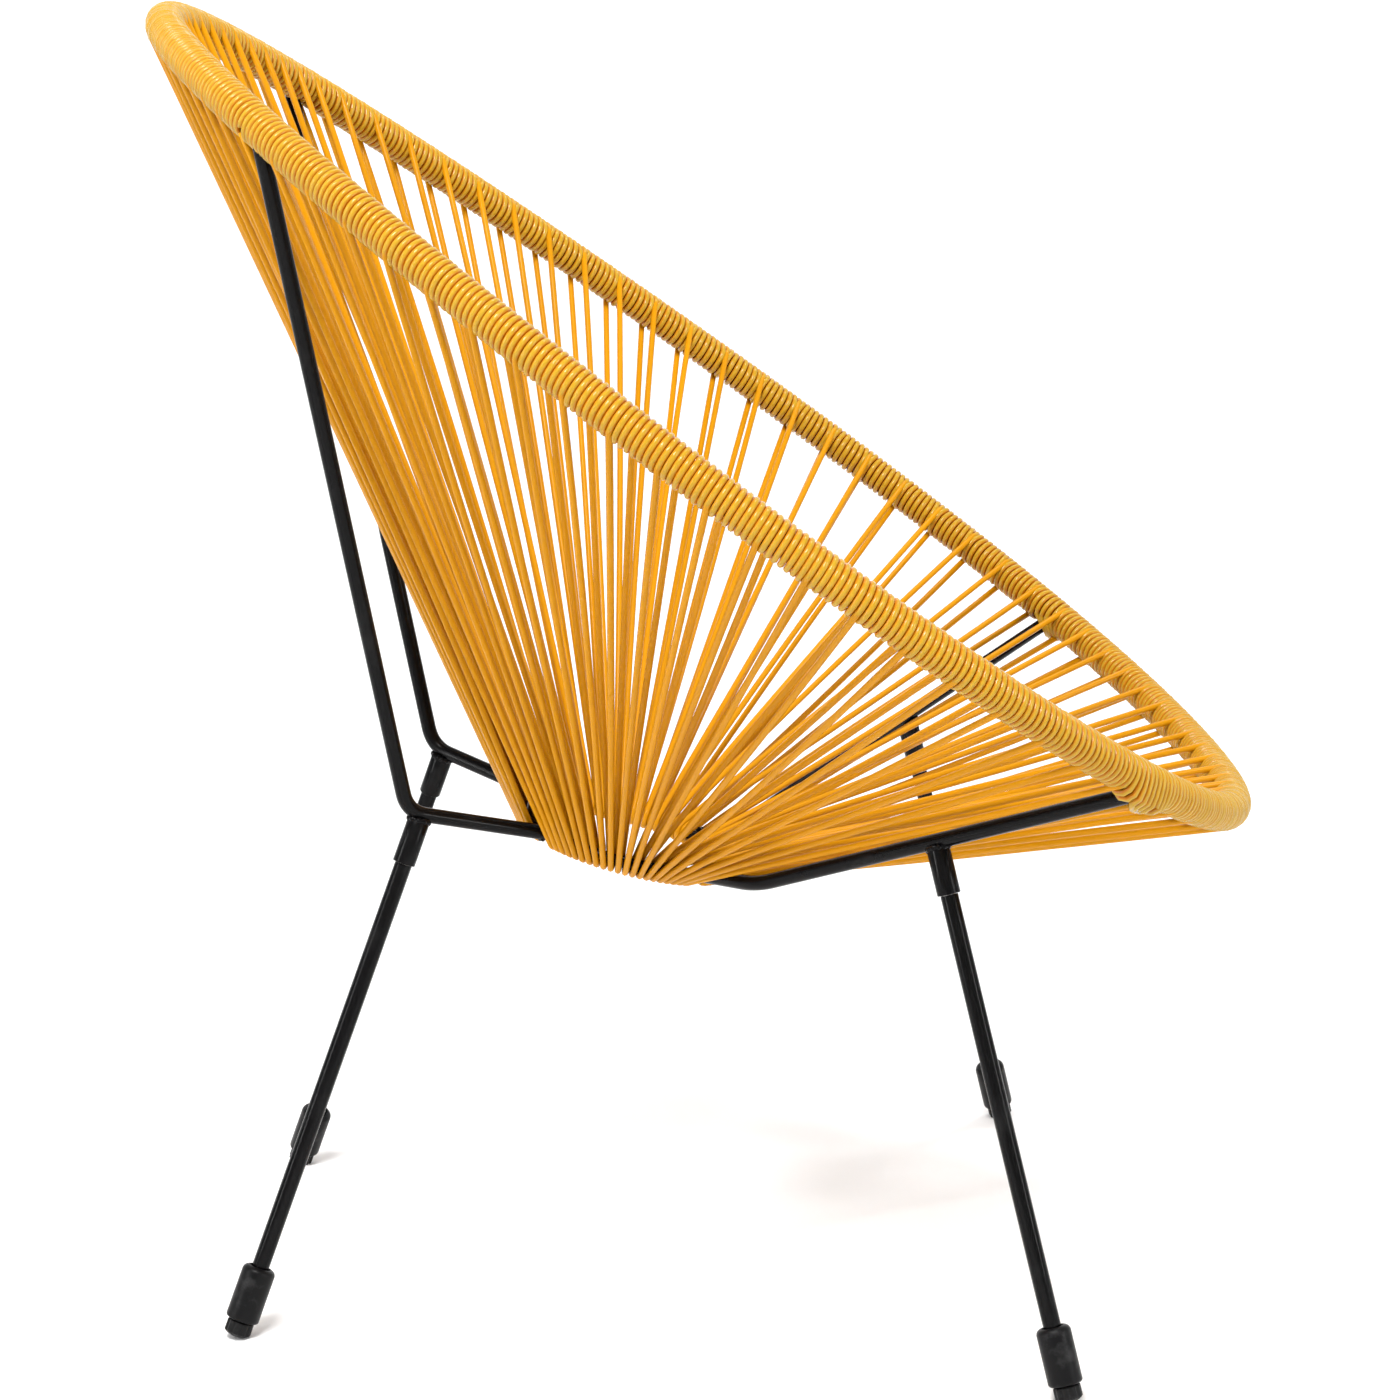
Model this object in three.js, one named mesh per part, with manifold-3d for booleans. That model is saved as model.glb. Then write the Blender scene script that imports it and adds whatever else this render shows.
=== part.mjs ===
// Acapulco chair: a steel frame wound with round plastic cord.
// Millimetres, +Z up, +X to the front of the chair, +Y to the sitter's left.
// The origin is on the floor, in the middle of the chair's outline.

import * as THREE from 'three';
import { mergeVertices } from 'three/addons/utils/BufferGeometryUtils.js';
import Module from 'manifold-3d';

const degree = Math.PI / 180;
const fullTurn = 2 * Math.PI;

// Seat rim: a flat egg-shaped loop of tube that slopes down to the front
const rimHalfLength = 431.5;
const rimHalfWidth = 346.1;
const rimFrontShare = 0.195;
const rimEndsShare = 0.044;
const rimSlope = 36.14 * degree;
const rimCentre = new THREE.Vector3(0.9, 0, 584.9);
const rimTubeRadius = 8;
const rimTubeSides = 8;

// Cord, and how it lies on the rim and on the base ring
const cordRadius = 2.2;
const cordLayGap = 0.4;
const strandSides = 4;
const strandsPerSpan = 21;
const sectorsPerSpan = 3;

// Where the rods meet the rim, measured along it from its front middle; the photo's rear ones differ
const frontRodReach = 307;
const rearLeftRodReach = 1047.5;
const rearRightRodReach = 999;

// Where the strands of a side begin and end on the rim, measured in the same way
const sideSpanStart = 306;
const sideSpanEnd = 1028;

// Base ring, round which every strand loops
const ringRadius = 70;
const ringTubeRadius = 4;
const ringTilt = 15.6 * degree;
const ringCentre = new THREE.Vector3(-56, 0, 293.5);
const ringSteps = 30;
const ringTubeSides = 8;
const frontRodTurn = 45 * degree;
const rearRodTurn = 138 * degree;
const ringRodOpening = 14 * degree;
const loopCorners = 3;

// Frame rods, each bent once between the ring and the rim
const rodRadius = 5.1;
const rodSides = 10;
const rodBendReach = 14;
const rodBendSteps = 4;
const frontBend = new THREE.Vector3(31.8, 92.7, 284.2);
const rearBend = new THREE.Vector3(-195.2, 97.6, 334.5);
const frontRodDrop = 10;
const rearRodDrop = 6;

// Feet: where each leg's axis meets the floor
const frontFoot = new THREE.Vector3(225, 273.3, 0);
const rearFoot = new THREE.Vector3(-308, 168.5, 0);

// Legs, screwed into sockets that are welded under the rods: how far from the bend, towards rim or ring
const frontSocketRimward = 155;
const rearSocketRingward = 10;
const legRadius = 5.7;
const legBore = 4.4;
const socketRadius = 7.5;
const socketLength = 34;
const socketBoreDepth = 22;
const studRadius = 4;
const studInSocket = 19;
const studInLeg = 20;
const legSides = 12;

// Ferrules at the legs' lower ends
const ferruleRadius = 11;
const ferruleLength = 36.5;
const ferruleShoulder = 4;
const ferruleShoulderSteps = 3;
const ferruleFootEdge = 1.2;
const ferruleCollarDepth = 2;
const ferruleCollarRoom = 1.6;
const ferruleLegDepth = 22;
const insertRadius = 7.6;
const insertLength = 11;

// Levelling feet: a threaded stem with a fluted, domed glide
const stemRadius = 4;
const stemLength = 30;
const stemInGlide = 6.5;
const glideRadius = 8.8;
const glideHeight = 11;
const glideDome = 14;
const glideDomeSteps = 3;
const glideFlat = 0.4;
const glideTopEdge = 1.2;
const glideFlutes = 10;
const fluteDepth = 0.9;
const footGap = 0.6;

// Room left between pieces
const fitGap = 0.3;
const weldGap = 0.35;
const cutOverrun = 40;
const meshTolerance = 0.02;

// Windings: real turns on a short stretch of the rim between two strands
const windingTurns = 5.5;
const windingSteps = 10;
const windingSides = 5;

const rimDown = new THREE.Vector3(Math.cos(rimSlope), 0, -Math.sin(rimSlope));
const rimUp = new THREE.Vector3(Math.sin(rimSlope), 0, Math.cos(rimSlope));
const cordDiameter = 2 * cordRadius;
const packedRadius = rimTubeRadius + fitGap + cordDiameter;
const packedFlat = packedRadius * Math.cos(Math.PI / rimTubeSides);
const buriedRadius = (rimTubeRadius + fitGap + packedFlat) / 2;
const layRadius = (rimTubeRadius + fitGap + cordRadius) / Math.cos(Math.PI / windingSteps);
const loopRadius = (ringTubeRadius + fitGap + cordRadius) / Math.cos(Math.PI / loopCorners / 2);
const strandStagger = cordRadius + cordLayGap / 2;

const wasm = await Module();
wasm.setup();

const finishes = {
  cord: { color: 0xdea032, roughness: 0.35, metalness: 0 },
  frame: { color: 0x111114, roughness: 0.25, metalness: 0.5 },
  ferrule: { color: 0x1c1c1f, roughness: 0.55, metalness: 0 },
  glide: { color: 0x17171a, roughness: 0.5, metalness: 0 },
  steel: { color: 0xb4b6ba, roughness: 0.3, metalness: 1 },
};

// A named piece with a material of its own
function piece(name, geometry, finish) {
  geometry.computeVertexNormals();
  const mesh = new THREE.Mesh(geometry, new THREE.MeshStandardMaterial(finish));
  mesh.name = name;
  return mesh;
}

// Solids, for joining and cutting
function solidOf(geometry) {
  const bare = geometry.clone();
  bare.deleteAttribute('normal');
  bare.deleteAttribute('uv');
  const merged = mergeVertices(bare);
  const corners = merged.index.array;
  const kept = [];
  for (let i = 0; i < corners.length; i += 3) {
    const [a, b, c] = corners.slice(i, i + 3);
    if (a !== b && b !== c && c !== a) kept.push(a, b, c);
  }
  const vertProperties = new Float32Array(merged.attributes.position.array);
  const triVerts = new Uint32Array(kept);
  return new wasm.Manifold(new wasm.Mesh({ numProp: 3, vertProperties, triVerts }));
}

function geometryOf(solid) {
  const mesh = solid.getMesh();
  const geometry = new THREE.BufferGeometry();
  geometry.setAttribute('position', new THREE.BufferAttribute(mesh.vertProperties, 3));
  geometry.setIndex(new THREE.BufferAttribute(mesh.triVerts, 1));
  return geometry;
}

function shifted(point, direction, distance) {
  return point.clone().addScaledVector(direction, distance);
}

// Frames say where a tube's section stands: `out` and `up` span the section
function framesAlong(points, across) {
  return points.map((at, i) => {
    const before = points[Math.max(i - 1, 0)];
    const after = points[Math.min(i + 1, points.length - 1)];
    const along = after.clone().sub(before).normalize();
    const wanted = Array.isArray(across) ? across[i] : across;
    const up = shifted(wanted, along, -wanted.dot(along)).normalize();
    return { at, out: along.clone().cross(up), up };
  });
}

function placeInFrames(geometry, locate) {
  const position = geometry.attributes.position;
  const local = new THREE.Vector3();
  for (let i = 0; i < position.count; i++) {
    local.fromBufferAttribute(position, i);
    const { frame, out, up } = locate(local);
    const place = shifted(shifted(frame.at, frame.out, out), frame.up, up);
    position.setXYZ(i, place.x, place.y, place.z);
  }
  return geometry;
}

// A straight cylinder bent along the frames, with closed ends
function tubeAlong(frames, radius, sides, turn = 0) {
  const steps = frames.length - 1;
  const straight = new THREE.CylinderGeometry(radius, radius, steps, sides, steps, false, turn);
  return placeInFrames(straight, (local) => {
    const frame = frames[Math.round(local.y + steps / 2)];
    return { frame, out: local.x, up: local.z };
  });
}

// A torus laid along a closed run of frames
function ringAlong(frames, radius, sides) {
  const count = frames.length;
  const core = 2 * radius;
  const torus = new THREE.TorusGeometry(core, radius, sides, count);
  return placeInFrames(torus, (local) => {
    const step = Math.round((Math.atan2(local.y, local.x) / fullTurn) * count);
    const frame = frames[(step + count) % count];
    return { frame, out: Math.hypot(local.x, local.y) - core, up: local.z };
  });
}

// The rim's centre line, from its front middle round by the sitter's left
class RimCurve extends THREE.Curve {
  getPoint(share, target = new THREE.Vector3()) {
    const angle = share * fullTurn;
    const forward = Math.cos(angle);
    const fullness = 1 + rimFrontShare * forward + rimEndsShare * forward ** 2;
    target.copy(rimCentre).addScaledVector(rimDown, rimHalfLength * forward);
    target.y += rimHalfWidth * Math.sin(angle) * fullness;
    return target;
  }
}

const rimCurve = new RimCurve();
rimCurve.arcLengthDivisions = 2000;
const rimPerimeter = rimCurve.getLength();

function rimShare(reach) {
  return (((reach / rimPerimeter) % 1) + 1) % 1;
}

// Four rods, the right ones mirrored: where each meets the ring and the rim, and its leg
const frontRod = {
  turn: frontRodTurn, drop: frontRodDrop, bend: frontBend,
  rimward: frontSocketRimward, ringward: 0, foot: frontFoot,
};
const rearRod = {
  turn: rearRodTurn, drop: rearRodDrop, bend: rearBend,
  rimward: 0, ringward: rearSocketRingward, foot: rearFoot,
};
const rods = {
  front_left: { ...frontRod, side: 1, reach: frontRodReach },
  rear_left: { ...rearRod, side: 1, reach: rearLeftRodReach },
  rear_right: { ...rearRod, side: -1, reach: rearRightRodReach },
  front_right: { ...frontRod, side: -1, reach: frontRodReach },
};

// Four spans of strands: where each starts and ends on the rim and on the ring
const spans = {
  front: { from: -sideSpanStart, to: sideSpanStart, turnFrom: -frontRodTurn, turnTo: frontRodTurn },
  left: { from: sideSpanStart, to: sideSpanEnd, turnFrom: frontRodTurn, turnTo: rearRodTurn },
  rear: {
    from: sideSpanEnd, to: rimPerimeter - sideSpanEnd,
    turnFrom: rearRodTurn, turnTo: fullTurn - rearRodTurn,
  },
  right: {
    from: rimPerimeter - sideSpanEnd, to: rimPerimeter - sideSpanStart,
    turnFrom: fullTurn - rearRodTurn, turnTo: fullTurn - frontRodTurn,
  },
};

function bayEdge(span, count) {
  return span.from + ((span.to - span.from) * count) / strandsPerSpan;
}

// The rim tube has a corner at each bay edge and is straight between them
const rimCorners = Object.values(spans).flatMap((span) =>
  Array.from({ length: strandsPerSpan }, (_, count) => bayEdge(span, count)));

function rimCornerFrame(reach) {
  const share = rimShare(reach);
  const along = rimCurve.getTangentAt(share);
  return { at: rimCurve.getPointAt(share), along, out: along.clone().cross(rimUp), up: rimUp };
}

// A frame on the straight tube midway between two bay edges
function bayMiddle(span, bay) {
  const start = rimCornerFrame(bayEdge(span, bay));
  const end = rimCornerFrame(bayEdge(span, bay + 1));
  const along = end.at.clone().sub(start.at).normalize();
  const at = start.at.clone().lerp(end.at, 1 / 2);
  return { at, along, out: along.clone().cross(rimUp), up: rimUp };
}

const rimFrames = rimCorners.map(rimCornerFrame);

// The base ring's frame at an angle from its front
function ringFrame(turn) {
  const flat = new THREE.Vector3(Math.cos(turn), Math.sin(turn), 0);
  const along = new THREE.Vector3(-Math.sin(turn), Math.cos(turn), 0);
  const up = new THREE.Vector3(0, 0, 1);
  const tilt = new THREE.Matrix4().makeRotationY(ringTilt);
  for (const direction of [flat, along, up]) direction.applyMatrix4(tilt);
  return { at: shifted(ringCentre, flat, ringRadius), out: flat, along, up };
}

const ringFrames = Array.from({ length: ringSteps }, (_, step) => ringFrame((fullTurn * step) / ringSteps));

// A strand's two sides: the outer one leaves the rim's underside, the inner one its top
function strandOf(span, bay) {
  const rim = bayMiddle(span, bay);
  const turnRoom = span.turnTo - span.turnFrom - ringRodOpening;
  const turn = span.turnFrom + ringRodOpening / 2 + (turnRoom * bay) / (strandsPerSpan - 1);
  const ring = ringFrame(turn);
  const down = ring.at.clone().sub(rim.at).normalize();
  const outward = down.clone().cross(rim.along).normalize();
  const flatDown = shifted(down, ring.along, -down.dot(ring.along)).normalize();
  const ringOutward = flatDown.clone().cross(ring.along).normalize();
  const outer = { at: shifted(rim.at, rim.along, -strandStagger), outward };
  const inner = { at: shifted(rim.at, rim.along, strandStagger), outward: outward.clone().negate() };
  const loop = [];
  for (let corner = 0; corner <= loopCorners; corner++) {
    const angle = (Math.PI * corner) / loopCorners;
    const place = shifted(ring.at, ringOutward, loopRadius * Math.cos(angle));
    loop.push(shifted(place, flatDown, loopRadius * Math.sin(angle)));
  }
  const square = shifted(down, rim.along, -down.dot(rim.along)).normalize();
  return { rim, ring, square, outer, inner, loop };
}

// A strand's end: buried in the packed turns, or short and face to face with a winding's end
function strandEnd(side, square, meetsWinding) {
  if (!meetsWinding) return [shifted(side.at, side.outward, buriedRadius)];
  const top = shifted(side.at, side.outward, layRadius);
  const start = cordDiameter + fitGap;
  return [shifted(top, square, start), shifted(top, square, start + cordRadius)];
}

function strandGeometry(strand, outerMeets, innerMeets) {
  const { outer, inner, loop, square } = strand;
  const points = [
    ...strandEnd(outer, square, outerMeets),
    ...loop,
    ...strandEnd(inner, square, innerMeets).reverse(),
  ];
  const frames = framesAlong(points, strand.ring.along);
  return tubeAlong(frames, cordRadius, strandSides, Math.PI / strandSides);
}

// The packed turns of a sector: the rim's cover from its first bay to its last
function coverFrames(span, firstBay, lastBay, windingBefore, windingAfter) {
  const frames = [];
  const first = windingBefore ? bayMiddle(span, firstBay) : rimCornerFrame(bayEdge(span, firstBay));
  frames.push({ ...first, at: shifted(first.at, first.along, fitGap / 2) });
  for (let bay = firstBay + 1; bay <= lastBay; bay++) frames.push(rimCornerFrame(bayEdge(span, bay)));
  const last = windingAfter ? bayMiddle(span, lastBay) : rimCornerFrame(bayEdge(span, lastBay + 1));
  frames.push({ ...last, at: shifted(last.at, last.along, -fitGap / 2) });
  return frames;
}

// A stretch of rim with its strands: a plain core of packed turns, bored for the rim tube
function seatSector(span, index, rodRoom, wound) {
  const bays = strandsPerSpan / sectorsPerSpan;
  const firstBay = index * bays;
  const lastBay = firstBay + bays - 1;
  const windingBefore = wound && index > 0;
  const windingAfter = wound && index < sectorsPerSpan - 1;
  const frames = coverFrames(span, firstBay, lastBay, windingBefore, windingAfter);
  let solid = solidOf(tubeAlong(frames, packedRadius, rimTubeSides));
  for (let bay = firstBay; bay <= lastBay; bay++) {
    const outerMeets = windingBefore && bay === firstBay;
    const innerMeets = windingAfter && bay === lastBay;
    solid = solid.add(solidOf(strandGeometry(strandOf(span, bay), outerMeets, innerMeets)));
  }
  const cut = solid.subtract(rimRoom).subtract(rodRoom);
  return geometryOf(cut.asOriginal().simplify(meshTolerance));
}

// The side of a strand as an angle round the rim, from straight out towards up
function layAngle(strand) {
  const { square, rim } = strand;
  return Math.atan2(square.dot(rim.up), square.dot(rim.out));
}

// One unbroken cord between two strands: a straight end, the turns, a straight end
function windingPath(span, bay) {
  const before = strandOf(span, bay);
  const after = strandOf(span, bay + 1);
  const corner = rimCornerFrame(bayEdge(span, bay + 1));
  const axis = new THREE.QuadraticBezierCurve3(before.inner.at, corner.at, after.outer.at);
  const count = Math.round(windingTurns * windingSteps);
  const points = [];
  const radials = [];
  for (let step = 0; step <= count; step++) {
    const share = step / count;
    const lay = THREE.MathUtils.lerp(layAngle(before), layAngle(after), share);
    const angle = lay - Math.PI / 2 - share * windingTurns * fullTurn;
    const out = before.rim.out.clone().lerp(after.rim.out, share).normalize();
    const radial = out.multiplyScalar(Math.cos(angle)).addScaledVector(rimUp, Math.sin(angle));
    points.push(shifted(axis.getPoint(share), radial, layRadius));
    radials.push(radial);
  }
  points.unshift(shifted(points[0], before.square, cordDiameter));
  points.push(shifted(points[points.length - 1], after.square, cordDiameter));
  radials.unshift(radials[0]);
  radials.push(radials[radials.length - 1]);
  return { points, radials };
}

// Clear room between a winding's own turns, measured between points a turn or so apart
function leastGap(points) {
  let least = Infinity;
  for (let i = 0; i < points.length; i++) {
    for (let j = i + Math.round(windingSteps / 2); j < points.length; j++) {
      least = Math.min(least, points[i].distanceTo(points[j]));
    }
  }
  return least - cordDiameter;
}

function onSide(point, side) {
  return new THREE.Vector3(point.x, point.y * side, point.z);
}

// A rod's centre line from the ring to the rim's underside, with one rounded bend
function rodPoints(rod) {
  const ringEnd = ringFrame(rod.turn * rod.side);
  const corner = onSide(rod.bend, rod.side);
  const rim = rimCornerFrame(rod.reach * rod.side);
  const under = ringEnd.at.clone().sub(rim.at).cross(rim.along).normalize();
  const rimEnd = shifted(rim.at, under, rod.drop);
  const inWay = ringEnd.at.clone().sub(corner).normalize();
  const outWay = rimEnd.clone().sub(corner).normalize();
  const bendStart = shifted(corner, inWay, rodBendReach);
  const bendEnd = shifted(corner, outWay, rodBendReach);
  const bend = new THREE.QuadraticBezierCurve3(bendStart, corner, bendEnd);
  const start = shifted(ringEnd.at, inWay, -ringTubeRadius);
  const points = [start, ...bend.getPoints(rodBendSteps), rimEnd];
  const head = shifted(shifted(corner, outWay, rod.rimward), inWay, rod.ringward);
  return { points, head, across: inWay.clone().cross(outWay) };
}

function rodGeometry(rod, radius) {
  const { points, across } = rodPoints(rod);
  return tubeAlong(framesAlong(points, across), radius, rodSides);
}

// A leg stands in a group whose +Z runs up the leg from the floor
function legGroup(rod) {
  const foot = onSide(rod.foot, rod.side);
  const upLeg = rodPoints(rod).head.clone().sub(foot);
  const group = new THREE.Group();
  group.position.copy(foot);
  group.quaternion.setFromUnitVectors(new THREE.Vector3(0, 0, 1), upLeg.clone().normalize());
  group.updateMatrixWorld(true);
  return { group, length: upLeg.length(), lean: upLeg.angleTo(new THREE.Vector3(0, 0, 1)) };
}

// A turned piece about +Z from radius and height pairs, which start and end on the axis or close
function turned(profile, sides = legSides) {
  const outline = profile.map(([radius, height]) => new THREE.Vector2(radius, height));
  return new THREE.LatheGeometry(outline, sides).rotateX(Math.PI / 2);
}

function sleeve(inner, outer, bottom, top) {
  return turned([[inner, bottom], [outer, bottom], [outer, top], [inner, top], [inner, bottom]]);
}

function pin(radius, bottom, top) {
  return turned([[0, bottom], [radius, bottom], [radius, top], [0, top]]);
}

// Points of a rounded edge, a quarter circle or less
function arcPoints(centreRadius, centreHeight, radius, from, to, steps) {
  return Array.from({ length: steps + 1 }, (_, step) => {
    const angle = from + ((to - from) * step) / steps;
    return [centreRadius + radius * Math.cos(angle), centreHeight + radius * Math.sin(angle)];
  });
}

function ferruleGeometry(bottom) {
  const top = bottom + ferruleLength;
  const legSeat = top - ferruleLegDepth;
  const pocketTop = bottom + insertLength + 2 * fitGap;
  const collar = legRadius + ferruleCollarRoom;
  const shoulderRadius = ferruleRadius - ferruleShoulder;
  const shoulder = arcPoints(shoulderRadius, top - ferruleShoulder, ferruleShoulder, 0, Math.PI / 2,
    ferruleShoulderSteps);
  const pocket = insertRadius + fitGap;
  const stemHole = stemRadius + fitGap;
  const legHole = legRadius + fitGap;
  return turned([
    [pocket, bottom], [ferruleRadius - ferruleFootEdge, bottom], [ferruleRadius, bottom + ferruleFootEdge],
    ...shoulder.slice(0, -1),
    [Math.max(collar, shoulderRadius), top], [collar, top - ferruleCollarDepth],
    [legHole, top - ferruleCollarDepth], [legHole, legSeat], [stemHole, legSeat],
    [stemHole, pocketTop], [pocket, pocketTop], [pocket, bottom],
  ]);
}

// The glide, its dome cut flat where it stands on the floor
function glideGeometry(domeCentre, group) {
  const edgeAngle = Math.acos(glideRadius / glideDome);
  const dome = arcPoints(0, domeCentre, glideDome, -Math.PI / 2, -edgeAngle, glideDomeSteps);
  const top = domeCentre - glideDome + glideHeight;
  const boreBottom = top - stemInGlide - fitGap;
  const stemHole = stemRadius + fitGap;
  const flutedSides = 2 * glideFlutes;
  const geometry = turned([
    ...dome, [glideRadius, top - glideTopEdge], [glideRadius - glideTopEdge, top],
    [stemHole, top], [stemHole, boreBottom], [0, boreBottom],
  ], flutedSides);
  cutFlutes(geometry, flutedSides);
  const floor = new THREE.BoxGeometry(cutOverrun, cutOverrun, cutOverrun);
  floor.translate(group.position.x, group.position.y, -cutOverrun / 2);
  floor.applyMatrix4(group.matrixWorld.clone().invert());
  return geometryOf(solidOf(geometry).subtract(solidOf(floor)));
}

// Every second line of the glide's outer wall is drawn in
function cutFlutes(geometry, sides) {
  const position = geometry.attributes.position;
  for (let i = 0; i < position.count; i++) {
    const x = position.getX(i);
    const y = position.getY(i);
    const line = Math.round((Math.atan2(y, x) / fullTurn) * sides);
    const radius = Math.hypot(x, y);
    if (line % 2 !== 0 && radius > glideRadius - fluteDepth) {
      const share = (glideRadius - fluteDepth) / radius;
      position.setXY(i, x * share, y * share);
    }
  }
}

// The socket, hollowed where it straddles its rod
function socketGeometry(length, group, rodRoom) {
  const bottom = length - socketLength;
  const bore = studRadius + fitGap;
  const blank = turned([
    [bore, bottom], [socketRadius, bottom], [socketRadius, length], [0, length],
    [0, bottom + socketBoreDepth], [bore, bottom + socketBoreDepth], [bore, bottom],
  ]);
  const saddle = rodRoom.transform(group.matrixWorld.clone().invert().elements);
  return geometryOf(solidOf(blank).subtract(saddle));
}

function addLeg(chair, name, rod, rodRoom) {
  const { group, length, lean } = legGroup(rod);
  const domeCentre = (glideDome - glideFlat) / Math.cos(lean);
  const glideTop = domeCentre - glideDome + glideHeight;
  const ferruleBottom = glideTop + footGap;
  const legBottom = ferruleBottom + ferruleLength - ferruleLegDepth + fitGap;
  const legTop = length - socketLength - fitGap;
  const insertBottom = ferruleBottom + fitGap;
  const stemBottom = glideTop - stemInGlide;
  group.add(
    piece(`leg_socket_${name}`, socketGeometry(length, group, rodRoom), finishes.frame),
    piece(`leg_tube_${name}`, sleeve(legBore, legRadius, legBottom, legTop), finishes.frame),
    piece(`leg_stud_${name}`, pin(studRadius, legTop - studInLeg, legTop + studInSocket), finishes.steel),
    piece(`ferrule_${name}`, ferruleGeometry(ferruleBottom), finishes.ferrule),
    piece(`threaded_insert_${name}`,
      sleeve(stemRadius + fitGap, insertRadius, insertBottom, insertBottom + insertLength), finishes.steel),
    piece(`leveller_stem_${name}`, pin(stemRadius, stemBottom, stemBottom + stemLength), finishes.steel),
    piece(`leveller_glide_${name}`, glideGeometry(domeCentre, group), finishes.glide),
  );
  chair.add(group);
}

const rimRoom = solidOf(ringAlong(rimFrames, rimTubeRadius + fitGap, rimTubeSides));
const weldedRim = solidOf(ringAlong(rimFrames, rimTubeRadius + weldGap, rimTubeSides));
const weldedRing = solidOf(ringAlong(ringFrames, ringTubeRadius + weldGap, ringTubeSides));

const chair = new THREE.Group();
chair.add(piece('rim_tube', ringAlong(rimFrames, rimTubeRadius, rimTubeSides), finishes.frame));
chair.add(piece('base_ring', ringAlong(ringFrames, ringTubeRadius, ringTubeSides), finishes.frame));

const rodRooms = [];
for (const [name, rod] of Object.entries(rods)) {
  const blank = solidOf(rodGeometry(rod, rodRadius));
  const rodRoom = solidOf(rodGeometry(rod, rodRadius + weldGap));
  const coped = blank.subtract(weldedRim).subtract(weldedRing);
  chair.add(piece(`${name.split('_')[0]}_rod_${name.split('_')[1]}`, geometryOf(coped), finishes.frame));
  addLeg(chair, name, rod, rodRoom);
  rodRooms.push(rodRoom);
}

const allRodRoom = rodRooms.reduce((joined, room) => joined.add(room));
let windingGap = Infinity;
for (const [name, span] of Object.entries(spans)) {
  const wound = name === 'left' || name === 'right';
  for (let index = 0; index < sectorsPerSpan; index++) {
    const geometry = seatSector(span, index, allRodRoom, wound);
    chair.add(piece(`seat_cord_${name}_${index + 1}`, geometry, finishes.cord));
    if (!wound || index === sectorsPerSpan - 1) continue;
    const lastBay = ((index + 1) * strandsPerSpan) / sectorsPerSpan - 1;
    const { points, radials } = windingPath(span, lastBay);
    const winding = tubeAlong(framesAlong(points, radials), cordRadius, windingSides);
    chair.add(piece(`rim_winding_${name}_${index + 1}`, winding, finishes.cord));
    windingGap = Math.min(windingGap, leastGap(points));
  }
}
console.log(`least gap between a winding's own turns: ${windingGap.toFixed(2)} mm`);

// The outline's middle stands over the origin
const outline = new THREE.Box3().setFromObject(chair, true);
chair.position.x = -outline.getCenter(new THREE.Vector3()).x;

export default chair;
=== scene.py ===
"""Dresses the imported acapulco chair: wound cord, bent steel frame, capped legs and a studio."""

import math

import bpy
import numpy as np
from mathutils import Matrix, Vector


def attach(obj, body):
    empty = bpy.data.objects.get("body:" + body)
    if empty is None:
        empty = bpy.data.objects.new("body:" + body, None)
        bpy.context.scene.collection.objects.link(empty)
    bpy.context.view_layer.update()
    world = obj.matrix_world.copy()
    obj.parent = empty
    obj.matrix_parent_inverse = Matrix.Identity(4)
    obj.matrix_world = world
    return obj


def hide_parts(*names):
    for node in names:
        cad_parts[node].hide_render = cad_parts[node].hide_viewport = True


bl_info = {
    "name": "Acapulco chair",
    "version": (1, 0, 0),
    "blender": (4, 5, 0),
    "location": "3D View > Sidebar > Chair",
    "description": "Builds the seat, frame and feet of an acapulco chair round its packed parts",
    "category": "Object",
}

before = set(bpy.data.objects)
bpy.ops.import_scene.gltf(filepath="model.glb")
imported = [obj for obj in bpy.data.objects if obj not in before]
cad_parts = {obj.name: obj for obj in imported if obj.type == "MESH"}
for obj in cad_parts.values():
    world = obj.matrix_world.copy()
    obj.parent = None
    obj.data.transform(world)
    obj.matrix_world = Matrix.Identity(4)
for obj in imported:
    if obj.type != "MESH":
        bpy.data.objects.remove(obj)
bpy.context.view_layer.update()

FULL_TURN = 2 * math.pi
LEGS = {"front_left": 1, "rear_left": 1, "rear_right": -1, "front_right": -1}
SPANS = ("front", "left", "rear", "right")
UP = np.array([0.0, 0.0, 1.0])
RIM_SAMPLES = 8001
SMALL_STEP = 0.0005
LOOP_POINTS = 9
THREAD_STEPS = 8
STRAND_POINTS = 12
BEND_POINTS = 17

# The turns that pass a front rod's end: where they part and how far along the rim that crowds them,
# then the middle, even part and whole of the swelling round the right and the left rod, and how
# squarely a turn has to face the rod before it is moved
PART_AT, CROWD_REACH, ROD_NEARBY = -0.005, 0.022, 0.04
RIGHT_SWELL, LEFT_SWELL = (0.006, 0.008, 0.028), (0.004, 0.006, 0.011)
CROWD_LIFT_SHARE = 0.2
FACING_START, FACING_FULL = 0.7, 0.98

# How unevenly the turns lie, and where round the tube they lean into a strand's place
TURN_DRIFT_SHARE = 0.25
TURN_WAVER, WAVER_RATE = 0.00012, 0.37
LEAN_TOWARDS, LEAN_START, LEAN_FULL = 0.44, -0.2, 0.85

# How the drawn lines stretch along the cord, and from how squarely the cord faces the turn beside
# it before painted groove shade starts
RUN_SCALE, ROUND_SCALE = 0.05, 0.012
GROOVE_SHADE_START = 0.6

# Welds, as shares of the rod, the socket and the bead; how far the ring's weld stands off the ring
WELD_RIPPLE, WELD_GRAIN, WELD_WANDER, WANDER_START = 0.22, 0.12, 0.25, 0.7
RING_WELD_BACK, RING_WELD_SHARE, RING_BEAD_SHARE = 0.0045, 0.92, 0.8
SOCKET_WELD_DROP_SHARE, SOCKET_WELD_SHARE = 0.80, 0.84

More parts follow.
